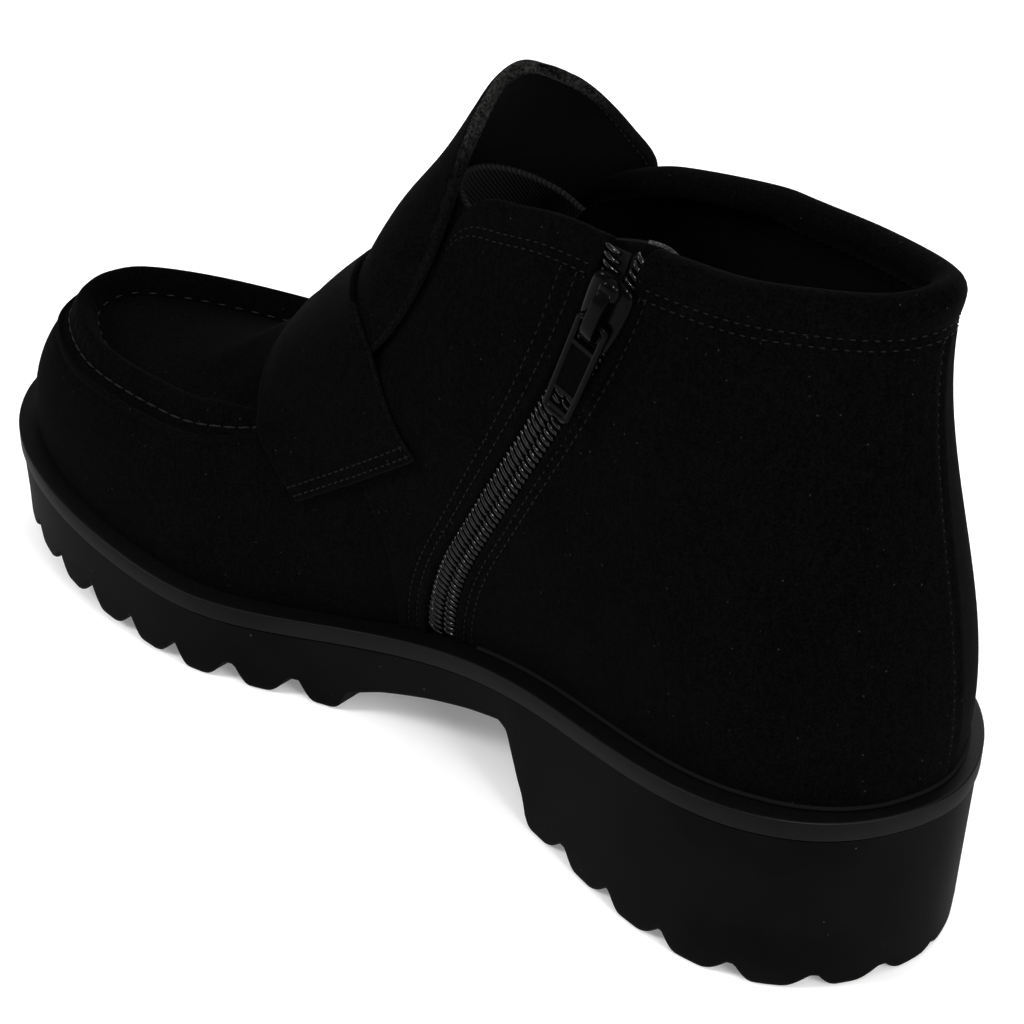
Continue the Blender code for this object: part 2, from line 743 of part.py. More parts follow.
upper = build_upper()
tongue = build_tongue(upper)
black = (0.012, 0.012, 0.013)
rubber = (0.02, 0.02, 0.021)
metal = (0.03, 0.03, 0.032)
pieces = [
    ("outsole", build_outsole(), rubber, 0.55),
    ("welt", build_welt(), rubber, 0.4),
    ("insole", build_insole(), black, 0.8),
    ("upper", upper, black, 0.9),
    ("tongue", tongue, black, 0.9),
    ("strap", build_strap(upper, tongue), black, 0.9),
    ("gore", build_gore(tree(upper, tongue)), black, 0.9),
    ("zip_chain", build_chain(), metal, 0.4),
]
slider_at, slider_axes = zip_frame(SLIDER_AT)
slider_points, slider_faces = build_slider()
pieces.append(("zip_slider", (slider_at + slider_points @ slider_axes, slider_faces), metal, 0.25))
everything = np.concatenate([p[1][0] for p in pieces])
low = everything.min(0)
high = everything.max(0)
shift = np.array([(low[0] + high[0]) / 2, (low[1] + high[1]) / 2, low[2]])
for name, (points, faces), colour, rough in pieces:
    mesh_object(name, points, faces, colour, rough, shift)
pull_points, pull_faces = build_pull()
pull = mesh_object("zip_pull", pull_points, pull_faces, metal, 0.25, np.zeros(3))
hinge = slider_at + slider_axes[2] * HINGE_OUT - slider_axes[0] * HINGE_DOWN - shift
turn = Matrix([list(slider_axes[:, i]) for i in range(3)]).to_4x4()
pull.matrix_world = Matrix.Translation(Vector(hinge * MM)) @ turn
print("shift", shift.round(3), "hinge", (hinge * MM).round(6), "axis", slider_axes[1].round(5))
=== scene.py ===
import math

import bpy
import numpy as np
from mathutils import Matrix, Vector
from mathutils.bvhtree import BVHTree


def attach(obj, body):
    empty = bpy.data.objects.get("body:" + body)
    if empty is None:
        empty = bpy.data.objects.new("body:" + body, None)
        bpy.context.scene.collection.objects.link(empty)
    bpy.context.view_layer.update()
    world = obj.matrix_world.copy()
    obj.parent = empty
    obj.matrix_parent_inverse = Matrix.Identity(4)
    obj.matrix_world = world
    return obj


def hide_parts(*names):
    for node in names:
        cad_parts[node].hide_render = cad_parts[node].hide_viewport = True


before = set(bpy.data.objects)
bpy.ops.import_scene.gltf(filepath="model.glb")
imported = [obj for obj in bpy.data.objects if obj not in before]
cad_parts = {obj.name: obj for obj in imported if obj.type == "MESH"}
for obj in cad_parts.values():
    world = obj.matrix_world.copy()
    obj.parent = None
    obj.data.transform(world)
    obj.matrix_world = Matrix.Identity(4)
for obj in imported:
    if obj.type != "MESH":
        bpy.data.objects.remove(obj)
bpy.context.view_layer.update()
print("frame loaded")

# drawn in millimetres with the back of the welt at x = 0, moved to the frame at the very end
mm = 0.001
shift = np.array([143.3, -3.582, 0.0])

lastForm = {
    "gap": 0.3,
    "feather": ((0, 20, 50), (3.8, 3.8, 5.2)),      # upper's foot inside the welt edge, by station
    "lowPull": (0.2, 0.2, 0.33),        # the wall's two handles, as shares of its span
    "highPull": (0.72, 0.72, 0.68),
    "weltPlan": (           # x, medial y, lateral y
        (0, 0.8, 0.8), (3.4, 14.3, -12.8), (14.2, 28.7, -27), (34.2, 38.1, -35.6),
        (62.7, 37.4, -36.4), (96.9, 30.2, -38), (128.2, 27.6, -43.5), (159.6, 31.8, -49.5),
        (193.8, 43.6, -52.6), (216.6, 45.4, -50.8), (242.2, 43.4, -44.2), (262.2, 37.4, -33),
        (276.5, 27.6, -17.6), (283.6, 17.4, -7.4), (286.6, 5, 5)),
    "weltTop": (
        (0, 49.2), (42.8, 47), (79.8, 42.6), (119.7, 36), (159.6, 26.8), (193.8, 25.2),
        (228, 28.5), (256.5, 33), (286.6, 37.2)),
    "wallRows": (           # foot x, rim x, medial rim y z, lateral rim y z, low push, high push
        (0, 16.4, 0.4, 162.6, 0.4, 162.6, 7, -10.5), (3.4, 18.2, 6.8, 162.6, -6.8, 161.6, 7, -10),
        (14.2, 25, 14, 162.2, -14, 160, 6.5, -8.5), (34.2, 38.4, 20, 161.4, -20, 158, 6, -5),
        (62.7, 52, 23.2, 160.2, -23.2, 156.8, 5, -1), (96.9, 67, 24.2, 159.6, -24.2, 156.4, 6, 2),
        (128.5, 79, 24.2, 159.6, -24.2, 155.6, 8, 4.5), (150, 98, 23.4, 159.2, -23.6, 152.4, 8.5, 5.5),
        (165, 112, 21.6, 156, -22.6, 147.4, 7, 5), (174, 124, 19.4, 149.6, -21.5, 138.5, 5, 4),
        (181, 134, 18.8, 133, -25.5, 124, 4, 3), (189, 146.5, 21, 110, -29.5, 106, 3.5, 2.5),
        (197, 160.5, 24.5, 90, -33, 88.5, 3, 2.5), (205, 176.5, 29, 75.5, -35.5, 75, 3, 2.5),
        (214, 194, 33, 67.5, -35, 66.5, 3, 3), (228, 213, 34.4, 64.5, -32.8, 63, 3, 3.5),
        (242.2, 232, 33, 63.5, -28.8, 62.2, 3, 4), (262.2, 253, 27.5, 63.5, -20, 63, 3, 4.5),
        (276.5, 267.4, 17.2, 64, -9.4, 64, 2.5, 5), (283.6, 271, 10.2, 64.3, -2.2, 64.3, 2.5, 5),
        (286.6, 271.9, 4, 64.5, 4, 64.5, 2.5, 5)),
    "zipFootX": 128.5,
    "zipRows": (            # share of height, shift along the stations, half width in stations
        (0, 1, 4.3), (0.06, 1.6, 4.4), (0.14, 1.9, 4.6), (0.23, 1.2, 4.8), (0.32, -0.6, 5),
        (0.42, -2.3, 5.4), (0.52, -3.9, 5.9), (0.62, -5.2, 6.6), (0.72, -6.1, 7.4),
        (0.81, -6.4, 8.1), (0.89, -6, 8.5), (0.95, -5, 8.3), (1, -3.8, 7.8)),
    "seamRows": (           # share of height, station of the quarter's front edge
        (0, 162.6), (0.04, 163.2), (0.09, 164.6), (0.18, 168.6), (0.275, 175.4), (0.36, 184.2),
        (0.5, 197), (0.7, 209), (1, 219)),
}


def splineAt(knots, values, at):
    t = np.asarray(knots, float)
    y = np.asarray(values, float)
    h = np.diff(t)
    n = len(t)
    a = np.eye(n)
    b = np.zeros_like(y)
    for i in range(1, n - 1):
        a[i, i - 1:i + 2] = h[i - 1], 2 * (h[i - 1] + h[i]), h[i]
        b[i] = 6 * ((y[i + 1] - y[i]) / h[i] - (y[i] - y[i - 1]) / h[i - 1])
    m = np.linalg.solve(a, b.reshape(n, -1)).reshape(b.shape)
    at = np.asarray(at, float)
    i = np.clip(np.searchsorted(t, at) - 1, 0, n - 2)
    wide = (slice(None),) * at.ndim + (None,) * (y.ndim - 1)
    before = (at - t[i])[wide]
    after = (t[i + 1] - at)[wide]
    step = h[i][wide]
    cubic = (m[i] * after**3 + m[i + 1] * before**3) / (6 * step)
    fromLow = (y[i] / step - m[i] * step / 6) * after
    fromHigh = (y[i + 1] / step - m[i + 1] * step / 6) * before
    return cubic + fromLow + fromHigh


def evenlyAt(rows, share):
    return splineAt(np.linspace(0, 1, len(rows)), rows, share)


def tableAt(rows, at):
    # spline through a table, by its first column
    rows = np.array(rows, float)
    return splineAt(rows[:, 0], rows[:, 1:], at)


def ease(x):
    x = np.clip(x, 0, 1)
    return x * x * (3 - 2 * x)


def lengthOf(v):
    return np.linalg.norm(v, axis=-1)


def unit(v):
    return v / np.maximum(np.linalg.norm(v, axis=-1, keepdims=True), 1e-9)


def roundDrop(d, r):
    x = np.clip(1 - d / r, 0, 1)
    return r * (1 - np.sqrt(1 - x * x))


def trough(d, wide):
    return np.exp(-(d / wide)**2)


def swell(d, rise, at, wide):
    return rise * trough(d - at, wide)


def closeEnds(count, first=(0.004, 0.01, 0.018), inner=0.03):
    # shares from 0 to 1, close together at both ends
    first = np.array((0.0,) + first)
    return np.r_[first, np.linspace(inner, 1 - inner, count), 1 - first[::-1]]


planRows = np.array(lastForm["weltPlan"], float)
sideSteps = [lengthOf(np.diff(planRows[:, [0, k]], axis=0)) for k in (1, 2)]
planS = np.r_[0, np.cumsum(sideSteps[0] + sideSteps[1]) / 2]
halfRound = planS[-1]       # stations from the heel's back to the toe tip


def threeTurns(s, medial, lateral):
    t = np.r_[s, 2 * halfRound - s[-2:0:-1]]
    loop = np.r_[medial, lateral[-2:0:-1]]
    return np.r_[t - 2 * halfRound, t, t + 2 * halfRound], np.tile(loop, (3, 1))


planT, planP = threeTurns(planS, planRows[:, [0, 1]], planRows[:, [0, 2]])


def outlineAt(t):
    return splineAt(planT, planP, t)


def outwardOf(curve, t, step=0.4):
    d = curve(np.asarray(t) + step) - curve(np.asarray(t) - step)
    return unit(np.stack([-d[..., 1], d[..., 0]], -1))


def outwardAt(t):
    return outwardOf(outlineAt, t)


fineS = np.linspace(0, halfRound, 1200)
fineX = (outlineAt(fineS)[:, 0] + outlineAt(-fineS)[:, 0]) / 2


def stationAt(x):
    return np.interp(x, fineX, fineS)


def weltTopAt(x):
    return tableAt(lastForm["weltTop"], x)[..., 0]


wallTable = np.array(lastForm["wallRows"], float)
wallS = stationAt(wallTable[:, 0])
wallS[0] = 0.0
wallS[-1] = halfRound
rimT, rimP = threeTurns(wallS, wallTable[:, [1, 2, 3, 6, 7]], wallTable[:, [1, 4, 5, 6, 7]])


def rimAt(t):
    return splineAt(rimT, rimP, t)


def fromHeel(t):
    return np.abs((np.asarray(t) + halfRound) % (2 * halfRound) - halfRound)


def wallAt(t, v):
    t, v = np.broadcast_arrays(np.asarray(t, float), np.asarray(v, float))
    v = v[..., None]
    rim = rimAt(t)
    n = np.concatenate([outwardAt(t), np.zeros(t.shape + (1,))], -1)
    inset = np.interp(fromHeel(t), *lastForm["feather"])
    footXy = outlineAt(t) - inset[..., None] * n[..., :2]
    foot = np.concatenate([footXy, weltTopAt(footXy[..., 0])[..., None] + lastForm["gap"]], -1)
    span = rim[..., :3] - foot
    low = foot + span * np.array(lastForm["lowPull"]) + n * rim[..., 3:4]
    high = foot + span * np.array(lastForm["highPull"]) + n * rim[..., 4:5]
    w = 1 - v
    return w**3 * foot + 3 * w**2 * v * low + 3 * w * v**2 * high + v**3 * rim[..., :3]


def wallNormal(t, v):
    t, v = np.broadcast_arrays(np.asarray(t, float), np.asarray(v, float))
    along = wallAt(t + 0.5, v) - wallAt(t - 0.5, v)
    up = wallAt(t, v + 0.004) - wallAt(t, v - 0.004)
    return unit(np.cross(up, along))


def wallLength(t):
    return lengthOf(wallAt(t, 1.0) - wallAt(t, 0.95)) / 0.05


def rimInward(t):
    return -outwardOf(rimAt, t)


def zipLine(v):
    both = tableAt(lastForm["zipRows"], v)
    return stationAt(lastForm["zipFootX"]) + both[..., 0], both[..., 1]


def zipAt(v, y, h):
    # point on the zip: v up the wall, y millimetres towards the toe, h out of the wall
    v, y, h = np.broadcast_arrays(*(np.asarray(k, float) for k in (v, y, h)))
    middle = zipLine(v)[0]
    step = lengthOf(wallAt(middle + 1, v) - wallAt(middle - 1, v)) / 2
    t = middle + y / step
    return wallAt(t, v) + wallNormal(t, v) * h[..., None]


def seamAt(v):
    return tableAt(lastForm["seamRows"], v)[..., 0]


def gridNormals(grid):
    return unit(np.cross(np.gradient(grid, axis=1), np.gradient(grid, axis=0)))


def closeShell(outer, inner):
    # two grids of one shape become a closed solid; tags are 0 outside, 1 inside, 2 at the rim
    n, m = outer.shape[:2]
    ids = np.arange(n * m).reshape(n, m)
    quads = np.stack([ids[:-1, :-1], ids[:-1, 1:], ids[1:, 1:], ids[1:, :-1]], -1).reshape(-1, 4)
    loop = np.r_[ids[0, :], ids[1:, -1], ids[-1, -2::-1], ids[-2:0:-1, 0]]
    after = np.roll(loop, -1)
    rim = np.stack([after, loop, loop + n * m, after + n * m], -1)
    faces = np.concatenate([quads, quads[:, ::-1] + n * m, rim])
    tags = np.r_[np.zeros(len(quads)), np.ones(len(quads)), np.full(len(rim), 2)]
    return np.concatenate([outer.reshape(-1, 3), inner.reshape(-1, 3)]), faces.tolist(), tags


def ringSides(n, m):
    # quads between n rows of m points, each row closed on itself
    ids = np.arange(n * m).reshape(n, m)
    turned = np.roll(ids, -1, axis=1)
    return np.stack([ids[:-1], turned[:-1], turned[1:], ids[1:]], -1).reshape(-1, 4).tolist()


def ringShell(rings):
    # one closed section per row of rings, capped at the first and the last
    n, m = rings.shape[:2]
    faces = ringSides(n, m)
    for row, flip in ((0, False), (n - 1, True)):
        for a in range((m - 1) // 2):
            corners = [a, m - 1 - a, m - 2 - a, a + 1]
            corners = [row * m + c for k, c in enumerate(corners) if c != corners[k - 1]]
            faces.append(corners[::-1] if flip else corners)
    return rings.reshape(-1, 3), faces


def sweep(path, section, up, closed=False):
    # a section (across, up) carried along a path, as one closed solid
    path = np.asarray(path, float)
    around = np.roll(path, -1, axis=0) - np.roll(path, 1, axis=0)
    along = unit(around if closed else np.gradient(path, axis=0))
    up = np.broadcast_to(np.asarray(up, float), path.shape)
    side = unit(np.cross(up, along))
    top = np.cross(along, side)
    section = np.asarray(section, float)
    rings = path[:, None] - side[:, None] * section[None, :, :1] + top[:, None] * section[None, :, 1:]
    if not closed:
        return ringShell(rings)
    n, m = rings.shape[:2]
    faces = np.array(ringSides(n + 1, m)) % (n * m)
    return rings.reshape(-1, 3), faces.tolist()


def roundSection(wide, high, corner, steps=3):
    corners = []
    for sx, sy, start in ((1, 1, 0), (-1, 1, 90), (-1, -1, 180), (1, -1, 270)):
        for k in range(steps + 1):
            a = math.radians(start + 90 * k / steps)
            corners.append((sx * (wide / 2 - corner) + corner * math.cos(a),
                            sy * (high / 2 - corner) + corner * math.sin(a)))
    return corners[::-1]


def circle(radius, sides):
    turns = [-2 * math.pi * k / sides for k in range(sides)]
    return [(radius * math.cos(a), radius * math.sin(a)) for a in turns]


def joined(*solids):
    points, faces = [], []
    count = 0
    for p, f in solids:
        points.append(np.asarray(p, float))
        faces += [[c + count for c in corners] for corners in f]
        count += len(p)
    return np.concatenate(points), faces


def placed(name, data):
    made = bpy.data.objects.new(name, data)
    bpy.context.scene.collection.objects.link(made)
    return made


def makePiece(name, points, faces, finishes, faceFinish=None, sharp=40, moved=True):
    mesh = bpy.data.meshes.new(name)
    points = np.asarray(points, float)
    mesh.from_pydata(((points - shift if moved else points) * mm).tolist(), [], faces)
    for finish in finishes:
        mesh.materials.append(finish.material)
    if faceFinish is not None:
        mesh.polygons.foreach_set("material_index", np.asarray(faceFinish, np.int32))
    mesh.shade_smooth()
    mesh.set_sharp_from_angle(angle=math.radians(sharp))
    return placed(name, mesh)


def makePanel(name, grid, thick):
    points, faces, tags = closeShell(grid, grid - gridNormals(grid) * thick)
    piece = makePiece(name, points, faces, [suede, lining], np.where(tags == 1, 1, 0), sharp=60)
    return piece, (points, faces)


def settle(piece, slotName, *nodes, body="shoe"):
    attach(piece, body)
    if nodes:
        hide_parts(*nodes)


# shader maths: a wrapped socket, so masks and bumps read as sums
class Sock:
    def __init__(self, finish, socket):
        self.finish = finish
        self.socket = socket

    def maths(self, operation, a, b):
        return self.finish.node("ShaderNodeMath", {"operation": operation}, {0: a, 1: b})

    def __add__(self, other):
        return self.maths("ADD", self, other)

    def __sub__(self, other):
        return self.maths("SUBTRACT", self, other)

    def __rsub__(self, other):
        return self.maths("SUBTRACT", other, self)

    def __mul__(self, other):
        return self.maths("MULTIPLY", self, other)

    def __radd__(self, other):
        return self.maths("ADD", other, self)

    def __rmul__(self, other):
        return self.maths("MULTIPLY", other, self)


class Finish:
    def __init__(self, name, **constants):
        self.material = bpy.data.materials.new(name)
        self.material.use_nodes = True
        self.tree = self.material.node_tree
        self.shader = self.tree.nodes["Principled BSDF"]
        for key, value in constants.items():
            self.shader.inputs[key.replace("_", " ")].default_value = value

    def node(self, kind, settings, sockets, out=0):
        made = self.tree.nodes.new(kind)
        for key, value in settings.items():
            setattr(made, key, value)
        for key, value in sockets.items():
            if isinstance(value, Sock):
                self.tree.links.new(value.socket, made.inputs[key])
            else:
                made.inputs[key].default_value = value
        return Sock(self, made.outputs[out])

    def place(self, kind="Object"):
        return self.node("ShaderNodeTexCoord", {}, {}, kind)

    def noise(self, scale, detail=3.0, rough=0.55, vector=None):
        sockets = {"Vector": vector or self.place(), "Scale": scale, "Detail": detail, "Roughness": rough}
        return self.node("ShaderNodeTexNoise", {}, sockets)

    def dots(self, scale):
        sockets = {"Vector": self.place(), "Scale": scale}
        return self.node("ShaderNodeTexVoronoi", {"feature": "F1"}, sockets)

    def ramp(self, value, low, high):
        sockets = {"Value": value, "From Min": low, "From Max": high}
        return self.node("ShaderNodeMapRange", {"interpolation_type": "SMOOTHSTEP"}, sockets)

    def tint(self, share, dark, light):
        return self.node("ShaderNodeMix", {"data_type": "RGBA"}, {0: share, 6: dark, 7: light}, 2)

    def feed(self, socketName, value):
        self.tree.links.new(value.socket, self.shader.inputs[socketName])

    def bump(self, height, strength, distance):
        sockets = {"Height": height, "Strength": strength, "Distance": distance}
        self.feed("Normal", self.node("ShaderNodeBump", {}, sockets))


def grey(value, cool=1.06):
    return (value, value, value * cool, 1)


def grainFinish(name, spec, grain, shades, rough, swing=0.0, spread=None, bump=None, sheen=0.0):
    # one noise drives colour, roughness and bump; grain is (scale, detail)
    finish = Finish(name, Roughness=rough, Specular_IOR_Level=spec, Sheen_Weight=sheen)
    noise = finish.noise(*grain)
    share = finish.ramp(noise, *spread) if spread else noise
    finish.feed("Base Color", finish.tint(share, grey(shades[0]), grey(shades[1])))
    if swing:
        finish.feed("Roughness", rough + swing * noise)
    if bump:
        finish.bump(noise, *bump)
    return finish


suedeLook = {
    "deep": 0.0003,
    "nap": 0.002,
    "lint": 0.016,
    "spec": 0.007,
    "sheen": 0.006,
    "rim": (0.001, 0.004, 0.03),        # painted edge sheen: dark speckle, sheen, paler sheen at the tongue's top
    "rimHigh": (0.154, 0.169),          # heights between which the painted sheen turns paler, painted light from above
}
even = (0.3, 0.7)       # usual spread of a noise
suedeBase = {"Roughness": 0.95, "Specular_IOR_Level": suedeLook["spec"],
             "Sheen_Weight": suedeLook["sheen"], "Sheen_Roughness": 0.4}
suede = Finish("blackSuede", **suedeBase)
napPatch = suede.noise(55, 3)
napFine = suede.noise(1700, 2, 0.7)
combed = suede.node("ShaderNodeMapping", {}, {"Vector": suede.place(), "Scale": (1.0, 1.0, 0.4)})
napMid = suede.noise(900, 3, 0.6, combed)
lintDots = suede.dots(330.0)
lintMask = (1 - suede.ramp(lintDots, 0.04, 0.09)) * suede.ramp(suede.noise(240, 0, 0.5), 0.46, 0.56)
napShare = 0.14 * suede.ramp(napPatch, *even) + 0.3 * suede.ramp(napMid, *even) + 2.4 * (napFine - 0.39)
napColour = suede.tint(napShare, grey(suedeLook["deep"]), grey(suedeLook["nap"]))
suede.feed("Base Color", suede.tint(lintMask, napColour, grey(suedeLook["lint"], 1.02)))
suede.feed("Roughness", 0.9 + 0.1 * napMid)
suede.bump(0.5 * napFine + 0.35 * napMid + 0.15 * napPatch, 0.8, 0.0006)

# painted sheen: a pale speckled band along sheet edges, paler towards the top as painted light from above
edgeSheenPaint = Finish("paintedEdgeSheen", **suedeBase)
edgeFuzz = edgeSheenPaint.noise(1500, 2, 0.7)
edgeHeight = edgeSheenPaint.node("ShaderNodeSeparateXYZ", {}, {"Vector": edgeSheenPaint.place()}, 2)
sheenGap, sheenLow, sheenHigh = suedeLook["rim"]
edgeTopSheen = edgeSheenPaint.ramp(edgeHeight, *suedeLook["rimHigh"])
edgeSheenColour = edgeSheenPaint.tint(edgeTopSheen, grey(sheenLow), grey(sheenHigh, 0.96))
edgeSheenPaint.feed("Base Color", edgeSheenPaint.tint(edgeSheenPaint.ramp(edgeFuzz, 0.3, 0.75), grey(sheenGap), edgeSheenColour))
edgeSheenPaint.bump(edgeFuzz, 0.5, 0.0005)

elastic = Finish("ribbedElastic", Roughness=0.85, Specular_IOR_Level=0.04, Sheen_Weight=0.004)
ribTurn = (0, 0, math.radians(38))
ribPlace = elastic.node("ShaderNodeMapping", {}, {"Vector": elastic.place("UV"), "Rotation": ribTurn})
ribBands = {"wave_type": "BANDS", "bands_direction": "X", "wave_profile": "SIN"}
ribWave, pickWave = (
    elastic.node("ShaderNodeTexWave", ribBands, {"Vector": place, "Scale": scale, "Distortion": 0.6}, 1)
    for place, scale in ((ribPlace, 0.3), (elastic.place("UV"), 0.36)))
ribWave = ribWave * (0.35 + 0.65 * pickWave)
ribFuzz = elastic.noise(2200, 2)
elastic.feed("Base Color", elastic.tint(0.75 * ribWave + 0.3 * ribFuzz, grey(0.0012), grey(0.017)))
elastic.feed("Roughness", 0.75 + 0.2 * ribFuzz)
elastic.bump(0.8 * ribWave + 0.2 * ribFuzz, 0.6, 0.0005)

weltRubber = Finish("satinWelt", Specular_IOR_Level=0.04)
weltGrain = weltRubber.noise(1300, 2)
weltCloud = weltRubber.noise(38, 3)
weltRubber.feed("Base Color", weltRubber.tint(weltRubber.ramp(weltCloud, *even), grey(0.0022), grey(0.005)))
weltRubber.feed("Roughness", 0.48 + 0.16 * weltCloud + 0.08 * weltGrain)
weltRubber.bump(weltGrain, 0.14, 0.0002)

soleRubber = Finish("mouldedRubber", Specular_IOR_Level=0.02)
soleGrain = soleRubber.noise(1500, 3)
soleCloud = soleRubber.noise(45, 3)
soleDots = soleRubber.dots(170.0)
soleDust = (1 - soleRubber.ramp(soleDots, 0.03, 0.06)) * soleRubber.ramp(soleRubber.noise(130, 0), 0.5, 0.6)
soleShade = soleRubber.tint(soleRubber.ramp(soleCloud, *even), grey(0.0009, 0.98), grey(0.0023, 0.98))
soleRubber.feed("Base Color", soleRubber.tint(soleDust, soleShade, grey(0.03, 1)))
soleRubber.feed("Roughness", 0.5 + 0.18 * soleCloud + 0.1 * soleGrain)
soleRubber.bump(soleGrain, 0.25, 0.0003)

zipMetal = Finish("blackMetal", Specular_IOR_Level=0.03)
metalCloud = zipMetal.noise(340, 3)
metalScratch = zipMetal.noise(1600, 2)
zipMetal.feed("Base Color", zipMetal.tint(metalCloud, grey(0.0006), grey(0.0016)))
zipMetal.feed("Roughness", 0.1 + 0.1 * metalCloud + 0.05 * metalScratch)
zipMetal.bump(metalScratch, 0.05, 0.0001)

lining = grainFinish("darkLining", 0.03, (900, 3), (0.0005, 0.0014), 0.7, 0.2, even, (0.3, 0.0003))
# painted shade: a darker copy of the welt rubber for the top face and its rounded edge
weltTopShade = grainFinish("weltTopShaded", 0.06, (1300, 2), (0.001, 0.0028), 0.36, 0.16, None, (0.2, 0.0002))
thread = grainFinish("blackThread", 0.06, (3200, 1), (0.0005, 0.0017), 0.45, 0.2, sheen=0.004)
waxedThread = grainFinish("waxedThread", 0.08, (2600, 1), (0.001, 0.0065), 0.4, 0.2, (0.35, 0.7),
                          sheen=0.004)
tapeCloth = grainFinish("zipTape", 0.08, (2400, 2), (0.0006, 0.0016), 0.9, bump=(0.4, 0.0003))
coilGloss = grainFinish("blackCoil", 0.15, (600, 2), (0.0006, 0.0016), 0.14, 0.1)
pullPaint = grainFinish("pullPaint", 0.008, (1400, 2), (0.0003, 0.0009), 0.6, 0.0, even, (0.2, 0.0001))
piping = grainFinish("greyPiping", 0.1, (1800, 2), (0.006, 0.045), 0.7, 0.12, even)
print("finishes made")

# quarters: shell panels with a rolled collar, thin folded edges and sewn channels
quarter = {
    "thick": 2.1,
    "zipEdgeThick": 1.25,
    "seamEdgeThick": 0.75,
    "thinnest": 0.7,
    "edgeRun": (8.0, 4.0),              # thin as far as this, full after this much more
    "edgeRound": 0.6,
    "collarRoll": 3.1,
    "frontRoll": 0.8,
    "rollRun": 7.0,
    "rollSteps": 13,
    "collarFront": (178.0, 200.0),      # stations where the padding fades on the open side
    "sewnRows": (7.5, 9.9),             # below the rim
    "sewnFade": 12.0,
    "zipRows": (3.0, 5.5),              # from the slot
    "channel": 0.3,
    "zipBead": (0.35, 1.2, 1.3),        # rise, from the slot, width
    "backRidge": (0.2, 1.8, 1.2),
    "backGroove": (0.45, 0.0, 0.7),
    "backTop": (9.5, 2.0),              # below the rim, and the run of its fade
    "puff": 0.25,
    "bindingDown": 9.0,
    "bindingStep": 0.8,
    "bindingSoft": 0.8,
}


def collarShare(t, padded):
    a, b = quarter["collarFront"]
    return padded * (1 - ease((fromHeel(t) - a) / (b - a)))


def quarterRings(tGrid, q, padded, zipAtEnd):
    tTop = tGrid[:, -1]
    share = collarShare(tTop, padded)
    roll = quarter["frontRoll"] + (quarter["collarRoll"] - quarter["frontRoll"]) * share
    tall = wallLength(tTop)
    v = q[None] * (1 - roll / tall)[:, None]
    p = wallAt(tGrid, v)
    n = wallNormal(tGrid, v)
    fromFirst = lengthOf(p - p[:1])
    fromLast = lengthOf(p - p[-1:])
    toZip, toSeam = (fromLast, fromFirst) if zipAtEnd else (fromFirst, fromLast)
    below = (1 - v) * tall[:, None]
    inCollar = ease((quarter["collarFront"][1] - fromHeel(tGrid)) / quarter["sewnFade"])
    lift = quarter["puff"] * share[:, None] * np.sin(np.pi * np.clip(below / quarter["sewnRows"][0], 0, 1))
    for row in quarter["sewnRows"]:
        lift = lift - swell(below, quarter["channel"], row, 0.9) * inCollar
    for row in quarter["zipRows"]:
        lift = lift - swell(toZip, quarter["channel"] * 0.8, row, 0.8)
    lift = lift + swell(toZip, *quarter["zipBead"])
    backSeam = lengthOf(p[..., :2] - wallAt(0 * tGrid, v)[..., :2])
    backLift = swell(backSeam, *quarter["backRidge"]) - swell(backSeam, *quarter["backGroove"])
    backFrom, backRun = quarter["backTop"]
    lift = lift + backLift * ease((below - backFrom) / backRun)
    drop = roundDrop(np.minimum(fromFirst, fromLast), quarter["edgeRound"])
    thick = quarter["thick"] + 0 * below
    run, fade = quarter["edgeRun"]
    for away, edgeThick in ((toZip, quarter["zipEdgeThick"]), (toSeam, quarter["seamEdgeThick"])):
        thick = thick + (edgeThick - quarter["thick"]) * (1 - ease((away - run) / fade))
    thick = np.maximum(thick, quarter["thinnest"])
    thick = thick + (2 * roll[:, None] - thick) * (1 - ease((below - roll[:, None]) / quarter["rollRun"]))
    binding = ease((quarter["bindingDown"] - below) / quarter["bindingSoft"])
    thick = thick + quarter["bindingStep"] * share[:, None] * binding
    outer = p + n * (lift - drop)[..., None]
    inner = p - n * np.maximum(thick - 0.6 * drop, drop + 0.25)[..., None]
    up = unit(wallAt(tTop, 1.0) - wallAt(tTop, 0.97))
    a = outer[:, -1]
    b = inner[:, -1]
    half = (a - b) / 2
    turn = np.linspace(0, np.pi, quarter["rollSteps"])[1:-1]
    over = (a + b)[:, None] / 2 + half[:, None] * np.cos(turn)[None, :, None]
    over = over + (up * lengthOf(half)[:, None])[:, None] * np.sin(turn)[None, :, None]
    rings = np.concatenate([outer, over, inner[:, ::-1]], axis=1)
    suedeRow = np.r_[np.ones(len(q) + len(turn)), (below.mean(0) < quarter["bindingDown"])[::-1]]
    return rings, suedeRow, inner, below


def makeQuarter(name, tGrid, padded, zipAtEnd):
    rings, suedeRow, inner, below = quarterRings(tGrid, heightShare, padded, zipAtEnd)
    points, faces = ringShell(rings)
    rows = np.tile(np.where(suedeRow > 0, 0, 1), len(tGrid) - 1)
    onFaces = np.r_[rows, np.zeros(len(faces) - len(rows))]
    return makePiece(name, points, faces, [suede, lining], onFaces), (points, faces), inner, below


heightShare = np.r_[np.linspace(0, 0.88, 58), np.linspace(0.88, 1, 26)[1:]]
zipMid, zipHalf = zipLine(heightShare)
seamNow = seamAt(heightShare)
rearShare = closeEnds(210, (0.0012, 0.003, 0.006), 0.01)
rearT = -seamNow[None] + rearShare[:, None] * (zipMid - zipHalf + seamNow)[None]
quarterRear, rearSolid, rearInner, rearBelow = makeQuarter("quarterRear", rearT, 1.0, True)
frontShare = closeEnds(46, (0.006, 0.015, 0.03), 0.05)
frontT = (zipMid + zipHalf)[None] + frontShare[:, None] * (seamNow - zipMid - zipHalf)[None]
quarterFront, frontSolid = makeQuarter("quarterFront", frontT, 0.25, False)[:2]
print("quarters made")

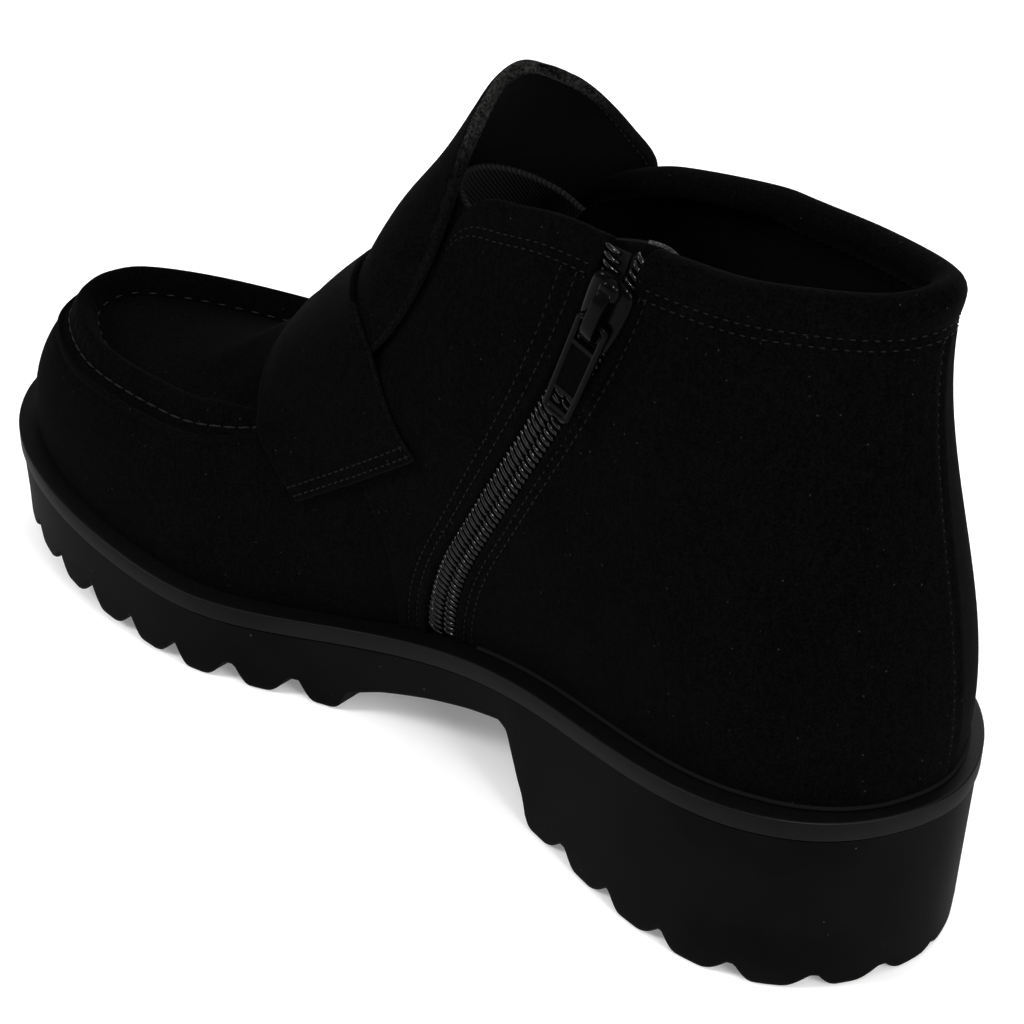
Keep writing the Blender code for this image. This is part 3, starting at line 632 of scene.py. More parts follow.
# vamp: wall, lip and puffy ridge in one sheet, tucked under the quarters
vamp = {
    "thick": 1.6,
    "under": 6.0,
    "sink": (0.85, 14.0),               # depth under the quarters, and the run of its fade
    "ridgeRise": 6.8,
    "riseFrom": (205, 216, 0.3),        # grows between these x, from this share
    "ridgeWide": 10.0,
    "wideFrom": (198, 206, 0.2),
    "lip": (0.9, 0.5, 0.9),             # rise, below the rim, width
    "lipGroove": (0.25, 2.4, 1.2),
    "pucker": 0.12,
    "puckerRows": ((1.0, 4.4, 0.3, 0.1), (0.8, 5.0, 0.88, 0.07)),   # share, pitch, across, width
    "stitchAcross": 0.22,
    "stitchSink": 2.4,
    "inner": 0.97,
    "ridgeShape": (
        (0, 0), (0.06, -0.05), (0.12, 0.05), (0.21, 0.2), (0.3, 0.52), (0.42, 0.86), (0.56, 1),
        (0.72, 0.88), (0.86, 0.5), (0.97, 0.04)),
}


def grownAt(t, x0, x1, least):
    low, high = stationAt(x0), stationAt(x1)
    return least + (1 - least) * ease((fromHeel(t) - low) / (high - low))


def ridgeAt(t, across):
    wide = vamp["ridgeWide"] * grownAt(t, *vamp["wideFrom"])
    p = wallAt(t, 1.0)
    p[..., :2] += rimInward(t) * (wide * across)[..., None]
    rise = vamp["ridgeRise"] * grownAt(t, *vamp["riseFrom"])
    p[..., 2] += rise * tableAt(vamp["ridgeShape"], across)[..., 0]
    return p


vampV = np.linspace(0, 1, 44)
vampC = np.linspace(0, 1, 331)
vampLow = seamAt(vampV) - vamp["under"]
vampT = vampLow[None] + vampC[:, None] * (2 * halfRound - 2 * vampLow)[None]
vampWall = wallAt(vampT, vampV[None])
vampBelow = (1 - vampV)[None] * wallLength(vampT[:, -1])[:, None]
vampLift = swell(vampBelow, *vamp["lip"]) - swell(vampBelow, *vamp["lipGroove"])
sinkDeep, sinkRun = vamp["sink"]
vampSink = sinkDeep * (1 - ease((fromHeel(vampT) - seamAt(vampV)[None]) / sinkRun))
vampWall = vampWall + wallNormal(vampT, vampV[None]) * (vampLift - vampSink)[..., None]
ridgeAcross = np.linspace(0.03, vamp["inner"], 24)
ridgeT = np.repeat(vampT[:, -1:], len(ridgeAcross), axis=1)
ridgeGrid = ridgeAt(ridgeT, np.broadcast_to(ridgeAcross, ridgeT.shape))
ridgeRun = np.r_[0, np.cumsum(lengthOf(np.diff(ridgeGrid[:, 4], axis=0)))]
puckerWave = -swell(ridgeAcross, vamp["stitchSink"], vamp["stitchAcross"], 0.05)[None]
for share, pitch, across, wide in vamp["puckerRows"]:
    wave = np.cos(2 * np.pi * ridgeRun / pitch)[:, None]
    puckerWave = puckerWave + share * wave * trough(ridgeAcross - across, wide)[None]
ridgeGrid = ridgeGrid + gridNormals(ridgeGrid) * (vamp["pucker"] * puckerWave)[..., None]
upperVamp, vampSolid = makePanel("upperVamp", np.concatenate([vampWall, ridgeGrid], axis=1), vamp["thick"])

# apron: cross lines hung from the ridge's inner foot
apron = {
    "thick": 1.6,
    "fold": ((206.0, -4.5), (222.0, 15.0)),     # crest that leaves the strap for the medial roll
    "foldRise": 2.0,
    "foldWide": 7.0,
    "foldEnds": ((27, 20), (14, 12)),           # fades along the crest, towards the toe and the strap
    "spine": ((205, 193.5, -5.5, 87), (214, 206, -4.5, 76), (228, 222, -2.5, 67.5), (242.2, 237, 0, 64.2),
              (262.2, 251, 1.5, 63.6), (276.5, 258, 2.5, 63.8), (286.6, 262, 3.8, 64.1)),
}
spineTable = np.array(apron["spine"], float)
spineS = stationAt(spineTable[:, 0])
spineS[-1] = halfRound
apronS = np.linspace(halfRound - 0.7, stationAt(203), 110)
apronW = np.linspace(-1, 1, 61)
footMedial, footLateral = (ridgeAt(t, np.full(t.shape, vamp["inner"]))
                           for t in (apronS, 2 * halfRound - apronS))
spineNow = splineAt(spineS, spineTable[:, 1:], apronS)
apronGrid = (spineNow[:, None] + apronW[None, :, None] * ((footMedial - footLateral) / 2)[:, None]
             + (apronW**2)[None, :, None] * ((footMedial + footLateral) / 2 - spineNow)[:, None])
foldFrom, foldTo = np.array(apron["fold"])
foldAlong = unit(foldTo - foldFrom)
foldAway = (apronGrid[..., :2] - foldFrom) @ np.array([-foldAlong[1], foldAlong[0]])
foldSide = (apronGrid[..., :2] - foldFrom) @ foldAlong
(toeEnd, toeRun), (strapEnd, strapRun) = apron["foldEnds"]
foldShare = trough(foldAway, apron["foldWide"]) * (1 - apronW**8)[None]
foldShare = foldShare * ease((toeEnd - foldSide) / toeRun) * ease((foldSide + strapEnd) / strapRun)
apronGrid[..., 2] += apron["foldRise"] * foldShare
apronPanel, apronSolid = makePanel("apronPanel", apronGrid, apron["thick"])
print("vamp and apron made")


def arch(rows, share, across, full=1.0):
    at = evenlyAt(rows, share)
    middle, medial, lateral = at[:, None, 0:3], at[:, None, 3:6], at[:, None, 6:9]
    turn = across[None, :, None] * math.pi / 2
    centre = (medial + lateral) / 2
    return centre + (medial - lateral) / 2 * np.sin(turn) + (middle - centre) * np.cos(turn)**full


def treeOf(*solids):
    points, faces = joined(*solids)
    return BVHTree.FromPolygons(points.tolist(), faces)


def neighbours(values):
    # a grid and its eight shifted copies
    rows, columns = values.shape[:2]
    wide = np.pad(values, ((1, 1), (1, 1)) + ((0, 0),) * (values.ndim - 2), mode="edge")
    return np.array([wide[i:i + rows, j:j + columns] for i in range(3) for j in range(3)])


def layOn(points, axis, bodies, clear, sag, start=40.0):
    # out from the axis until the sheet clears what lies under it, or in by up to sag
    ray = points - axis
    far = lengthOf(ray)
    ray = ray / far[..., None]
    need = np.full(far.shape, -float(sag))
    for index in np.ndindex(far.shape):
        outside = axis[index] + ray[index] * (far[index] + start)
        hit = bodies.ray_cast(Vector(outside), Vector(-ray[index]), start + 4 + far[index] * 0.6)
        if hit[0] is not None:
            need[index] = max(need[index], start - hit[3] + clear)
    move = need.copy()
    for _ in range(6):
        move = np.maximum(need, neighbours(move).mean(axis=0))
    out = axis + ray * (far + move)[..., None]
    for index in np.ndindex(far.shape):
        for _ in range(3):
            _, normal, _, away = bodies.find_nearest(Vector(out[index]))
            if away < clear:
                out[index] += np.array(normal) * (clear - away)
    return out


def finer(grid, rows, columns):
    return evenlyAt(evenlyAt(grid, rows).swapaxes(0, 1), columns).swapaxes(0, 1)


def edgeDistances(grid):
    down = lengthOf(np.diff(grid, axis=0))
    over = lengthOf(np.diff(grid, axis=1))
    i = np.concatenate([np.zeros((1, grid.shape[1])), np.cumsum(down, axis=0)])
    j = np.concatenate([np.zeros((len(grid), 1)), np.cumsum(over, axis=1)], axis=1)
    return i, i[-1:] - i, j, j[:, -1:] - j


def sheetSolid(grid, thick, edge, lift=0.0, soften=0):
    n = gridNormals(grid)
    for _ in range(soften):     # evens out the corners, where the edges run nearly in line
        n = unit(neighbours(n).mean(axis=0))
    drop = roundDrop(edge, thick * 0.48)
    outer = grid + n * (lift - drop)[..., None]
    inner = grid - n * (thick - drop)[..., None]
    return outer, inner, n


def makeSheenEdged(name, outer, inner, backing, edge, outside, inside):
    # suede sheet with a painted sheen band along its edge, on both faces and on the rim
    points, faces, tags = closeShell(outer, inner)
    near = ((edge[:-1, :-1] + edge[1:, 1:]) / 2).ravel()
    sides = np.r_[np.where(near < outside, 2, 0), np.where(near < inside, 2, 1)]
    onFaces = np.r_[sides, np.full(len(tags) - len(sides), 2)]
    piece = makePiece(name, points, faces, [suede, backing, edgeSheenPaint], onFaces, sharp=60)
    return piece, (points, faces)


upperSolids = [rearSolid, frontSolid, vampSolid, apronSolid]

tongue = {
    "thick": (1.6, 3.0),        # under the strap, at the free end
    "full": (0.72, 1.7),        # boxy under the strap, a shallow curve at the free end
    "fullFrom": (0.38, 0.75),
    "clear": 0.3,
    "axis": (6.0, -4.0, 4.0),   # back from the edges, y, down
    "edgeLift": (0.2, 2.5, 2.5),
    "edgeRow": 1.7,
    "threadFrom": 22.0,         # grid row where the edge's thread starts
    "sheenBand": (1.6, 1.4),      # painted sheen band along the edge, outside and inside
    "rows": (               # middle, medial edge, lateral edge, from the apron up
        (192.4, -5.5, 88.2, 176, 23, 81, 176, -32, 81), (181.5, -7.5, 100.5, 161, 26, 93.5, 161, -36, 93.5),
        (168.6, -8, 113.8, 147, 26.4, 107, 147, -39, 107),
        (160, -6.5, 124.5, 137, 25.4, 121, 129, -42.3, 121.5),
        (152.1, -5.5, 138.4, 130.5, 23.1, 138, 119.8, -41.2, 136.6),
        (143.4, -5, 149.6, 128.5, 18.3, 153, 121.2, -36.6, 146),
        (137.9, -7, 160, 129, 12.3, 163.4, 122.8, -29.6, 154.8),
        (135.2, -8.5, 167.8, 130.8, 3.9, 168.2, 127, -22.4, 163.1),
        (132.9, -9, 171, 132.6, -4.4, 170, 131.4, -14.3, 168.2)),
}
tongueUp = np.linspace(0, 1, 15)
tongueFull = np.interp(tongueUp, tongue["fullFrom"], tongue["full"])[:, None, None]
tongueCoarse = arch(tongue["rows"], tongueUp, np.linspace(1, -1, 17), tongueFull)
axisBack, axisY, axisDown = tongue["axis"]
tongueAxis = tongueCoarse.copy()
tongueAxis[..., 0] = (tongueCoarse[:, :1, 0] + tongueCoarse[:, -1:, 0]) / 2 - axisBack
tongueAxis[..., 1] = axisY
tongueAxis[..., 2] -= axisDown
tongueClear = tongue["clear"] + tongue["thick"][0]
tongueCoarse = layOn(tongueCoarse, tongueAxis, treeOf(*upperSolids), tongueClear, 0.0)
tongueShare = closeEnds(70)
tongueGrid = finer(tongueCoarse[:, ::-1], tongueShare, tongueShare)
tongueDist = edgeDistances(tongueGrid)
tongueRim = np.concatenate([tongueGrid[:, 0], tongueGrid[-1], tongueGrid[:, -1]])
tongueEdge = lengthOf(tongueGrid[:, :, None] - tongueRim).min(axis=2)
edgeRise, edgeAt, edgeRun = tongue["edgeLift"]
tongueLift = edgeRise * (1 - ease((tongueEdge - edgeAt) / edgeRun))
tongueThick = np.interp(tongueShare, (0.3, 0.6), tongue["thick"])[:, None]
tongueRound = np.minimum(tongueEdge, tongueDist[0])
tongueOuter, tongueInner, tongueNormal = sheetSolid(tongueGrid, tongueThick, tongueRound, tongueLift, 8)
tongueFlap, tongueSolid = makeSheenEdged("tongueFlap", tongueOuter, tongueInner, lining, tongueEdge,
                                      *tongue["sheenBand"])

strap = {
    "thick": 1.4,
    "endRows": (1.6, 4.1),
    # painted sheen band along the edge, outside and inside
    "sheenBand": (0.3, 0.3),
    "rearBow": 8.0,             # extra width where it bends over the tongue
    "clear": 0.15,
    "sag": 1.5,
    "axisDown": 6.0,
    "rowDeep": (0.25, 0.6),     # channel of the end rows: depth, width
    "rows": ((198, -7.6, 84.9, 165, 35.3, 62.3, 164.5, -44.6, 62.5),
             (184, -9.5, 103, 145.2, 32.8, 76.5, 145, -43.8, 76.8),
             (168.5, -9.5, 115.9, 129.4, 31, 88.4, 129.4, -41.8, 88.4)),
}
strapShare, strapAcross = np.linspace(0, 1, 9), np.linspace(1, -1, 33)
strapCoarse = arch(strap["rows"], strapShare, strapAcross)
rearward = unit(strapCoarse[-1:] - strapCoarse[:1])
rearBow = strap["rearBow"] * strapShare[:, None]**2 * np.sin(np.pi * np.abs(strapAcross))[None]**2
strapCoarse = strapCoarse + rearward * rearBow[..., None]
strapAxis = np.broadcast_to((strapCoarse[:, :1] + strapCoarse[:, -1:]) / 2, strapCoarse.shape).copy()
strapAxis[..., 2] -= strap["axisDown"]
strapTree = treeOf(*upperSolids, tongueSolid)
strapCoarse = layOn(strapCoarse, strapAxis, strapTree, strap["clear"] + strap["thick"], strap["sag"])
strapGrid = finer(strapCoarse[:, ::-1], closeEnds(46, (0.01, 0.022, 0.035)),
                  closeEnds(150, (0.003, 0.006, 0.01)))
strapDist = edgeDistances(strapGrid)
strapEnd = np.minimum(strapDist[2], strapDist[3])
rowDeep, rowWide = strap["rowDeep"]
strapLift = -sum(swell(strapEnd, rowDeep, row, rowWide) for row in strap["endRows"])
strapEdge = np.min(strapDist, axis=0)
strapOuter, strapInner, strapNormal = sheetSolid(strapGrid, strap["thick"], strapEdge, strapLift)
saddleStrap, _ = makeSheenEdged("saddleStrap", strapOuter, strapInner, suede, strapEdge, *strap["sheenBand"])

gore = {
    "thick": 1.2,
    "hem": (0.25, 0.7, 0.5),    # rise, width, softness
    "clear": 0.55,
    "base": (0.4, 70.0, -4.0),  # axis the panel is pulled in towards: x share, x, y
    "rows": ((172, -4.5, 97, 156, 22, 88, 156, -31, 88), (163, -4.5, 109, 146, 19.5, 103, 146, -29, 103),
             (152, -4, 126, 135, 17, 123, 135, -26, 121), (139, -3, 146, 125, 15.5, 146, 122, -18, 135)),
}
goreCoarse = arch(gore["rows"], np.linspace(0, 1, 9), np.linspace(-1, 1, 17))
baseShare, baseX, baseY = gore["base"]
goreBase = goreCoarse.copy()
goreBase[..., 0] = goreCoarse[..., 0] * baseShare + baseX
goreBase[..., 1] = baseY
goreRay = goreCoarse - goreBase
goreFar = lengthOf(goreRay)
goreRay = goreRay / goreFar[..., None]
goreShort = np.zeros_like(goreFar)
for index in np.ndindex(goreFar.shape):
    hit = strapTree.ray_cast(Vector(goreBase[index]), Vector(goreRay[index]), goreFar[index] + 3)
    if hit[0] is not None:
        goreShort[index] = max(0.0, goreFar[index] - hit[3] + gore["clear"])
goreCoarse = goreBase + goreRay * (goreFar - neighbours(goreShort).max(axis=0))[..., None]
goreGrid = finer(goreCoarse, closeEnds(44), closeEnds(44))
goreDist = edgeDistances(goreGrid)
hemRise, hemWide, hemSoft = gore["hem"]
goreLift = hemRise * (1 - ease((goreDist[1] - hemWide) / hemSoft))
goreOuter, goreInner, _ = sheetSolid(goreGrid, gore["thick"], np.min(goreDist, axis=0), goreLift)
gorePoints, goreFaces, _ = closeShell(goreOuter, goreInner)
goreKnit = makePiece("goreKnit", gorePoints, goreFaces, [elastic], sharp=60)
goreUv = np.tile(np.stack([goreDist[2], goreDist[0]], -1).reshape(-1, 2), (2, 1))
goreLoops = np.empty(len(goreKnit.data.loops), np.int32)
goreKnit.data.loops.foreach_get("vertex_index", goreLoops)
goreKnit.data.uv_layers.new(name="weave").data.foreach_set("uv", goreUv[goreLoops].ravel())
print("tongue, strap and gore made")

# sole unit: welt band over a lugged rubber sole
welt = {
    "thick": 5.2,
    "stations": 260,
    "rings": (                  # inset, drop, from the top's inner edge round and under
        (14, 0.3), (5.0, 0.05), (2.2, 0), (0.8, 0), (0.42, 0.03), (0.12, 0.18), (0, 0.5), (0, 2.4),
        (0, 4.6), (0.1, 4.95), (0.35, 5.15), (0.9, 5.2)),
    "shadedTopRings": 6,            # top face and its rounded edge, painted darker as shade
}


def loopStations(count):
    q = np.linspace(0, 1, count)
    s = halfRound * (q - 0.085 * np.sin(2 * np.pi * q) / np.pi)
    return np.r_[s, 2 * halfRound - s[-2:0:-1]]


def offsetRing(t, inset, drop):
    p = outlineAt(t) - outwardAt(t) * inset
    return np.c_[p, weltTopAt(p[:, 0]) - drop]


def ringStack(rings):
    # rings round the shoe, closed across at the first and the last
    n = len(rings[0])
    faces = ringSides(len(rings), n)
    for at, flip in ((0, True), ((len(rings) - 1) * n, False)):
        for i in range(n // 2):
            quad = [at + i, at + i + 1, at + (n - i - 1) % n, at + (n - i) % n]
            quad = [c for k, c in enumerate(quad) if c != quad[k - 1]]
            faces.append(quad[::-1] if flip else quad)
    return np.concatenate(rings), faces


weltT = loopStations(welt["stations"])
weltRings = [offsetRing(weltT, inset, drop) for inset, drop in welt["rings"]]
onTop = np.repeat(np.arange(len(weltRings) - 1) < welt["shadedTopRings"], len(weltT))
weltOnTop = np.r_[onTop, np.ones(len(weltT) // 2), np.zeros(len(weltT) // 2)]
weltBand = makePiece("weltBand", *ringStack(weltRings), [weltRubber, weltTopShade], weltOnTop, sharp=50)

sole = {
    "stepIn": 1.0,
    "lugIn": 13.0,
    "lugRun": (4.2, 6.2),   # towards the toe, towards the heel
    "edge": 1.3,
    "stations": 430,
    "tread": (              # x, height, lug depth
        (0, 2.4, 2.4), (12, 3.0, 3.0), (24, 4.2, 4.2), (95, 4.5, 4.5), (99, 11, 0), (104, 22, 0),
        (107, 23.6, 0), (118, 20.4, 0), (131, 16, 0), (145, 10.8, 0), (154, 6.6, 0), (157, 5.6, 5.6),
        (200, 5.6, 5.6), (228, 7.6, 5.6), (256, 11.4, 5.6), (286.6, 17, 5.6)),
    "lugs": (               # x, half length
        (1, 5), (9, 4), (22.5, 5), (40, 5), (57, 4.6), (73.5, 4.4), (90.5, 4.2), (161.5, 3.8), (178, 4),
        (195, 4.2), (211, 4.2), (226.5, 4.2), (242, 4), (256, 4), (268, 4), (277.5, 4), (283.6, 4)),
    "rake": ((0, 6, 30, 60, 95, 105), (0.8, 0.2, -2.4, -2.6, -1.6, 0)),
    "lugRoot": 2.0,         # above the tread, where the lugs grow out of the side
    "middle": (24, 262),    # ends of the line that the tread closes towards
    "bars": 11.0,           # pitch of the bars across the tread
    "pads": ((14, 92), (161, 262)),     # where the bars run, heel and forepart
}
soleT = loopStations(sole["stations"])
soleHalf = np.minimum(soleT, 2 * halfRound - soleT)
lugShare = np.zeros_like(soleHalf)
for x, half in sole["lugs"]:
    away = soleHalf - stationAt(x)
    run = np.where(away > 0, sole["lugRun"][0], sole["lugRun"][1])
    lugShare = np.maximum(lugShare, np.sin(np.pi / 2 * np.clip(1 - (np.abs(away) - half + 2) / run, 0, 1)))
soleX = np.interp(soleHalf, fineS, fineX)
treadTable = np.array(sole["tread"], float)
treadZ = np.interp(soleX, treadTable[:, 0], treadTable[:, 1])
treadDeep = np.interp(soleX, treadTable[:, 0], treadTable[:, 2])
soleY = (outlineAt(soleHalf)[:, 1] + outlineAt(-soleHalf)[:, 1]) / 2
soleMiddle = np.c_[np.clip(soleX, *sole["middle"]), soleY]
soleFoot = outlineAt(soleT)
soleRake = np.interp(soleX, *sole["rake"])
soleLow = soleFoot - outwardAt(soleT) * (sole["stepIn"] + soleRake)[:, None]
soleTop, soleTopIn = (offsetRing(soleT, sole["stepIn"] * 0.6 + inset, welt["thick"] + lastForm["gap"])
                      for inset in (0, 0.7))
ground = treadZ - treadDeep * lugShare
toMiddle = soleMiddle - soleFoot
middleFar = lengthOf(toMiddle)[:, None]


def soleInward(inset):
    return soleFoot + toMiddle / middleFar * np.minimum(inset, 0.8 * middleFar)


edge = sole["edge"]
soleSide = soleTop - [0, 0, 0.15]
lugRoot = np.c_[soleLow, treadZ + sole["lugRoot"]]
lowEdge = np.c_[soleLow, ground]
soleRings = [soleTopIn, soleSide]
soleRings += [soleSide * (1 - q) + lugRoot * q for q in np.linspace(0.1, 1, 10)]
soleRings += [lugRoot * (1 - q) + (lowEdge + [0, 0, edge]) * q for q in (0.2, 0.4, 0.6, 0.8, 1.0)]
for a in (0.35, 0.7, 1.0):
    ring = lowEdge.copy()
    ring[:, :2] -= outwardAt(soleT) * edge * (1 - math.cos(a * math.pi / 2))
    ring[:, 2] += edge * (1 - math.sin(a * math.pi / 2))
    soleRings.append(ring)
barWave = ease((np.cos(2 * np.pi * soleX / sole["bars"]) + 0.35) / 0.4)
padZone = sum(ease((soleX - low) / 3) * ease((high - soleX) / 3) for low, high in sole["pads"])
padZ = treadZ - treadDeep * padZone * barWave
for inset, height in ((-0.8, ground), (0, ground + 0.5 * lugShare), (1.6, treadZ), (4.0, treadZ),
                      (5.4, padZ + 0.5 * padZone * barWave), (6.2, padZ)):
    soleRings.append(np.c_[soleInward(sole["lugIn"] + inset), height])
outsoleUnit = makePiece("outsoleUnit", *ringStack(soleRings), [soleRubber], sharp=38)

insole = {
    "stations": 120,
    "inset": 8.4,
    "rings": ((9, 3.05), (3, 3.0), (0.9, 2.9), (0.2, 2.5), (0, 1.8), (0, 0)),       # inset, height
}
insoleT = loopStations(insole["stations"])
insoleRings = [offsetRing(insoleT, insole["inset"] + inset, -lastForm["gap"] - up)
               for inset, up in insole["rings"]]
insoleBoard = makePiece("insoleBoard", *ringStack(insoleRings), [lining], sharp=50)

footBead = {"radius": 0.5, "reach": (-118.0, 138.0), "high": 0.004, "out": 0.25}
beadT = np.linspace(*footBead["reach"], 300)
beadOut = wallNormal(beadT, footBead["high"])
beadPath = wallAt(beadT, footBead["high"]) + beadOut * footBead["out"]
beadSolid = sweep(beadPath, circle(footBead["radius"], 10), beadOut)
footBeadCord = makePiece("footBead", *beadSolid, [tapeCloth], sharp=60)
print("sole made")

# zip: tapes, guard, slider and pull
zipper = {
    "tapeDeep": 1.45,
    "tapeThick": 0.5,
    "tapeWide": 7.4,
    "teeth": (0.016, 0.812),    # closed below the slider, shares of the wall's height
    "open": (0.938, 0.988),     # parted above it
    "openOut": (2.7, 4.0),
    "teethOut": -0.75,
    "pitch": 2.0,
    "sliderAt": 0.895,
    "hingeDown": 4.4,
    "hingeOut": 3.15,
    "pullLong": 26.0,
    "pullWide": 8.4,
}
tapeV = np.linspace(0.008, 0.985, 130)[None]
tapeY = np.linspace(0.3, zipper["tapeWide"], 14)
tapeSolids = []
for across in (-tapeY[::-1], tapeY):
    top, under = (zipAt(tapeV, across[:, None], -zipper["tapeDeep"] - deeper)
                  for deeper in (0, zipper["tapeThick"]))
    tapeSolids.append(closeShell(top, under)[:2])
zipTapes = makePiece("zipTapes", *joined(*tapeSolids), [tapeCloth], sharp=50)

guard = {
    "y": (6.5, -10.0),
    "deep": ((-10, -3, 6.5), (-7.6, -5.0, -2.4)),   # y, depth inside the wall
    "low": 0.8,
    "top": (0.975, 0.028, 1.5, 9.5),                # height, crown, the crown's middle and half width
    "thick": 1.2,
    "pipe": (0.55, 17),                             # radius, rows it covers
}
guardY = np.linspace(*guard["y"], 30)
guardDeep = np.interp(guardY, *guard["deep"])
topV, topCrown, topAt, topHalf = guard["top"]
guardTop = topV + topCrown * (1 - ((guardY + topAt) / topHalf)**2)
guardV = guard["low"] + np.linspace(0, 1, 24)[None] * (guardTop - guard["low"])[:, None]
guardGrid = zipAt(guardV, guardY[:, None], guardDeep[:, None])[::-1]
guardNormal = gridNormals(guardGrid)
guardSolid = closeShell(guardGrid, guardGrid - guardNormal * guard["thick"])[:2]
pipeRadius, pipeRows = guard["pipe"]
pipeOut = guardNormal[:pipeRows, -1]
pipe = sweep(guardGrid[:pipeRows, -1] - pipeOut * guard["thick"] / 2, circle(pipeRadius, 10), pipeOut)
zipGuard = makePiece("zipGuard", *joined(guardSolid, pipe), [lining, piping],
                     np.repeat((0, 1), (len(guardSolid[1]), len(pipe[1]))), sharp=50)


def zipFrame(v):
    ends = np.array([v - 0.02, v, v + 0.02])
    middle = zipLine(ends)[0]
    below, at, above = wallAt(middle, ends)
    back, ahead = wallAt(middle[1] + np.array([-2.0, 2.0]), np.array([v, v]))
    up = unit(above - below)
    out = unit(np.cross(up, ahead - back))
    return at, np.array([up, np.cross(out, up), out])


def cutCorners(outline, times):
    outline = np.asarray(outline, float)
    for _ in range(times):
        after = np.roll(outline, -1, axis=0)
        outline = np.stack([0.75 * outline + 0.25 * after, 0.25 * outline + 0.75 * after], 1).reshape(-1, 2)
    return outline


def plateSolid(outline, levels):
    # outline runs anticlockwise; each level is (height, inset)
    along = unit(np.roll(outline, -1, axis=0) - np.roll(outline, 1, axis=0))
    inwards = np.stack([-along[:, 1], along[:, 0]], -1)
    rings = [np.c_[outline + inwards * inset, np.full(len(outline), z)] for z, inset in levels]
    n = len(outline)
    low = list(range(n))
    high = [corner + (len(rings) - 1) * n for corner in low]
    return np.concatenate(rings), ringSides(len(rings), n) + [low[::-1], high]


slider = {
    "side": ((6.5, 1.6), (6.3, 3.6), (4.8, 5.3), (1.5, 5.5), (-4, 5.2), (-9.0, 4.6), (-11, 3.9),
             (-11.2, 1.5)),                         # half of the outline
    "levels": ((0.4, 0.5), (0.6, 0.12), (1.0, 0), (1.5, 0.1), (1.9, 0.45), (2.15, 1.1), (2.3, 2.0)),
    "bail": ((4.6, 1.2), (4.0, 3.1), (2.6, 4.4), (0.4, 4.9), (-2.6, 5.0), (-5.6, 4.95), (-7.5, 4.3),
             (-8.5, 2.9), (-8.7, 1.2)),             # along the zip, height
    "bailSize": (3.2, 1.0, 0.35),
    "crown": ((6.6, -2.0), (6.6, 2.0), (3.4, 3.0), (1.6, 1.9), (1.6, -1.9), (3.4, -3.0)),
    "crownLevels": ((1.4, 0.1), (2.4, 0), (3.3, 0.3), (3.8, 0.9), (4.0, 1.5)),
}
sliderOutline = [(x, -y) for x, y in slider["side"][::-1]] + list(slider["side"])
sliderPlate = plateSolid(cutCorners(sliderOutline, 3), slider["levels"])
bailSide = evenlyAt(slider["bail"], np.linspace(0, 1, 33))
bailPath = np.c_[bailSide[:, 0], np.zeros(len(bailSide)), bailSide[:, 1]]
bailSection = [(b, a) for a, b in roundSection(*slider["bailSize"])][::-1]
bail = sweep(bailPath, bailSection, np.array([0, 1.0, 0]))
crown = plateSolid(cutCorners(slider["crown"], 3), slider["crownLevels"])
sliderAt, sliderAxes = zipFrame(zipper["sliderAt"])
sliderPoints, sliderFaces = joined(sliderPlate, bail, crown)
sliderBody = makePiece("sliderBody", sliderAt + sliderPoints @ sliderAxes, sliderFaces, [zipMetal], sharp=35)

long = zipper["pullLong"]
wide = zipper["pullWide"] / 2
rimSide = ((0.0, 0.75), (-1.5, 0.75), (-long + 2.2, 1.05), (-long + 0.75, 1.25))       # x, inset
rimPath = [(x, wide - inset) for x, inset in rimSide]
rimPath = cutCorners(((0.0, -rimPath[0][1]), *rimPath, *((x, -y) for x, y in rimPath[:0:-1])), 3)
rimPath = np.c_[rimPath, np.zeros(len(rimPath))]
rim = sweep(rimPath, roundSection(1.45, 1.5, 0.5), np.array([0, 0, 1.0]), closed=True)


def pullPlate(x0, x1, half, high):
    corners = np.array(((x1, -half), (x1, half), (x0, half), (x0, -half)))
    return plateSolid(corners, ((-high, 0.12), (-high + 0.12, 0), (high - 0.12, 0), (high, 0.12)))


panel = pullPlate(-long + 6.6, -6.4, wide - 0.8, 0.42)
pullBars = [pullPlate(*size) for size in (
    (-7.4, -6.2, wide - 0.7, 0.66), (-long + 6.2, -long + 7.4, wide - 0.9, 0.6),
    (-long + 0.5, -long + 2.5, wide - 1.3, 0.5))]
hinge = sliderAt + sliderAxes[2] * zipper["hingeOut"] - sliderAxes[0] * zipper["hingeDown"]
pullPoints, pullFaces = joined(rim, panel, *pullBars)
pullFinish = np.zeros(len(pullFaces))
pullFinish[len(rim[1]):len(rim[1]) + len(panel[1])] = 1
pullTab = makePiece("pullTab", hinge + pullPoints @ sliderAxes, pullFaces, [zipMetal, pullPaint],
                    pullFinish, sharp=35)
print("zip made")

# rows of small shapes along paths: one tree for thread and teeth
rowTree = bpy.data.node_groups.new("rowsAlongPaths", "GeometryNodeTree")
for label, kind in (("Paths", "Geometry"), ("Pitch", "Float"), ("Shape", "Object"), ("Size", "Vector"),
                    ("Finish", "Material")):
    rowTree.interface.new_socket(label, in_out="INPUT", socket_type="NodeSocket" + kind)
rowTree.interface.new_socket("Rows", in_out="OUTPUT", socket_type="NodeSocketGeometry")


def rowNode(kind, **settings):
    made = rowTree.nodes.new(kind)
    for key, value in settings.items():
        setattr(made, key, value)
    return made


